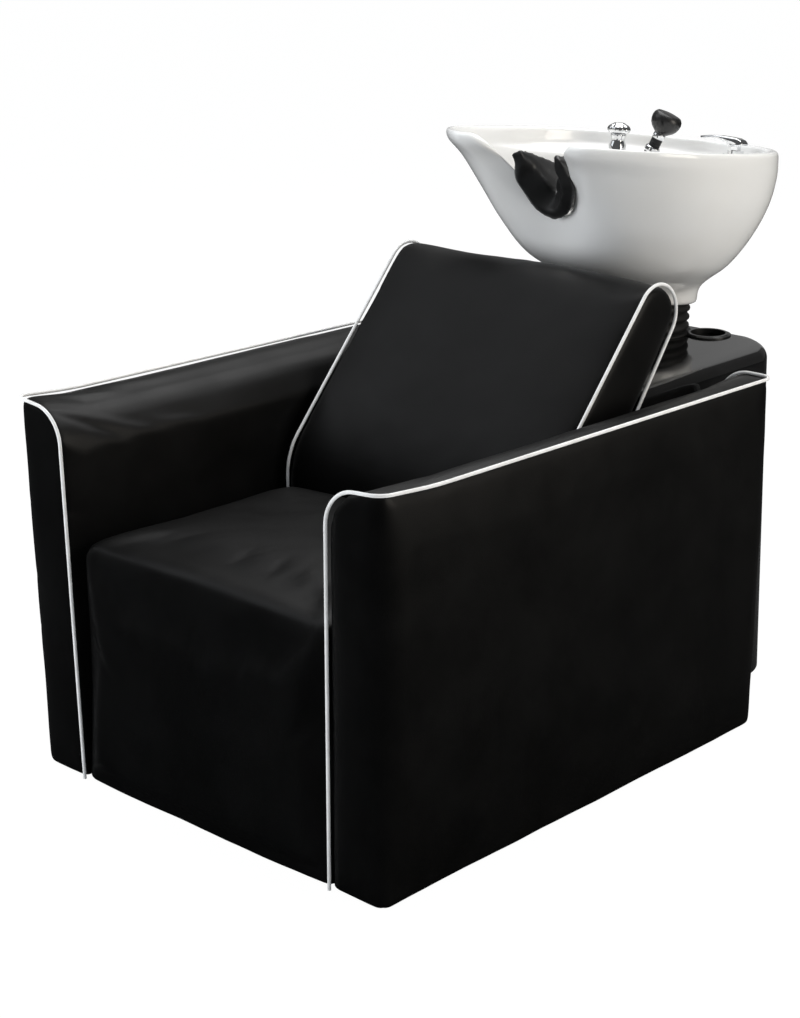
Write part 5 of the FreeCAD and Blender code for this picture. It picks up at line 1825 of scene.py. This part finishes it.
@dataclass
class Hardware:
    """Finishes of the nodes whose CAD form is kept."""

    finishes: Dict[str, Finish] = field(default_factory=lambda: {
        "vinyl": VINYL, "piping": PIPING, "plywood": BOARD, "frame_paint": COATED, "steel": ZINC, "chrome": CHROME,
        "brass": BRASS, "housing_gloss": MOULDING, "black_plastic": PLASTIC, "rubber": RUBBER, "ceramic": GLAZE})

    def dress(self) -> None:
        """Give every CAD node the finish of its slot."""
        for part in frame["record"]["subparts"]:
            obj = frame["nodes"][part["node"]]
            finish = self.finishes[part["material_slot"]]
            for holder in obj.material_slots:
                holder.material = finish.material()
            if not obj.material_slots:
                obj.data.materials.append(finish.material())
        LOG.info("hardware")


@dataclass
class Studio:
    """Camera, pale floor and soft light."""

    eye: Triple = (2.0974, -2.4160, 1.3724)
    target: Triple = (0.1485, -0.3263, 0.4584)
    lens: float = 75.44
    glow: float = 1.04
    floor_white: float = 0.94
    floor_size: float = 20.0
    sky: Sequence[Tuple[Colour, float]] = (((0.90, 0.95, 1.0, 1.0), 0.42), (grey(1.0), 0.10), (grey(1.0), 1.0))

    def build(self) -> None:
        """Set up the camera, the lamps, the floor and the world."""
        self.camera()
        self.lamp("ceiling_panel", (-0.2, 0.9, 2.9), (0.0, 0.1, 0.5), 2.4, 66.0)
        self.lamp("rear_light", (-2.9, 3.9, 1.3), (0.0, 0.1, 0.5), 3.2, 9.0)
        self.lamp("left_panel", (-2.2, -1.2, 3.0), (0.0, 0.15, 0.6), 2.4, 20.0, (0.93, 0.96, 1.0))
        self.lamp("warm_side", (3.0, 0.8, 1.5), (0.0, 0.4, 0.7), 1.6, 38.0, (1.0, 0.93, 0.83))
        self.lamp("front_fill", (-1.9, -2.7, 0.95), (0.0, 0.2, 0.75), 2.2, 62.0, (0.93, 0.96, 1.0), False)
        self.floor()
        self.world()
        bpy.context.scene.view_settings.view_transform = "Standard"

    def camera(self) -> None:
        """Camera at the photograph's viewing angle."""
        data = bpy.data.cameras.new("camera")
        data.lens = self.lens
        data.sensor_width = 36.0
        data.clip_end = 50.0
        bpy.context.scene.camera = self.hung(linked("camera", data), self.eye, self.target)

    @staticmethod
    def hung(obj: bpy.types.Object, place: Triple, aim: Triple) -> bpy.types.Object:
        """Put a camera or lamp in its place and point it at its aim.

        Args:
            obj: Camera or lamp.
            place: Where it stands.
            aim: Where it points.

        Returns:
            The same object.
        """
        obj.location = place
        obj.rotation_euler = (Vector(aim) - Vector(place)).to_track_quat("-Z", "Y").to_euler()
        return obj

    def lamp(self, name: str, place: Triple, aim: Triple, size: float, power: float,
             tint: Triple = (1.0, 1.0, 1.0), mirrored: bool = True) -> None:
        """Square soft lamp.

        Args:
            name: Name of the lamp.
            place: Where it hangs.
            aim: Where it points.
            size: Side length in metres.
            power: Power in watts.
            tint: Colour of the light.
            mirrored: Whether glossy surfaces show the lamp.
        """
        data = bpy.data.lights.new(name, "AREA")
        data.size = size
        data.energy = power
        data.color = tint
        self.hung(linked(name, data), place, aim).visible_glossy = mirrored

    def floor(self) -> None:
        """White floor that keeps a light shadow."""
        bm = bmesh.new()
        bmesh.ops.create_grid(bm, x_segments=1, y_segments=1, size=self.floor_size)
        floor = as_object(bm, "floor")
        paint = Paint(bpy.data.materials.new("pale_floor"))
        seen, shiny = (paint.ray(kind) for kind in ("Camera", "Glossy"))
        lit, dark = (paint.node("ShaderNodeBsdfDiffuse", {}, {"Color": grey(level)}) for level in (0.85, 0.05))
        glow = paint.node("ShaderNodeEmission", {}, {"Color": grey(1.0), "Strength": self.glow})
        unlit = paint.mixed(shiny, lit, dark)
        paint.node("ShaderNodeOutputMaterial", {}, {"Surface": paint.mixed(seen * self.floor_white, unlit, glow)})
        floor.data.materials.append(paint.owner)

    def world(self) -> None:
        """White behind the object, a soft sky for light and a dark one for reflections."""
        world = bpy.data.worlds.new("studio")
        bpy.context.scene.world = world
        paint = Paint(world)
        seen, shiny, through = (paint.ray(kind) for kind in ("Camera", "Glossy", "Transmission"))
        clear = paint.node("ShaderNodeMath", {"operation": "MAXIMUM"}, {0: seen, 1: through})
        lit, dim, white = (paint.node("ShaderNodeBackground", {}, {"Color": tint, "Strength": strength})
                           for tint, strength in self.sky)
        behind = paint.mixed(clear, paint.mixed(shiny, lit, dim), white)
        paint.node("ShaderNodeOutputWorld", {}, {"Surface": behind})


def main() -> None:
    """Build the scene's pieces in order."""
    logging.basicConfig(level=logging.INFO, format="%(name)s: %(message)s")
    Studio().build()
    Hardware().dress()
    Arm(Side.LEFT, top=0.5695, splay=0.022).build()
    Arm(Side.RIGHT).build()
    Seat().build()
    Backrest().build()
    Housing().build()
    bowl = Bowl()
    bowl.build()
    NeckRest(bowl).build()
    Bellows().build()
    Taps().build()


if __name__ == "__main__":
    main()
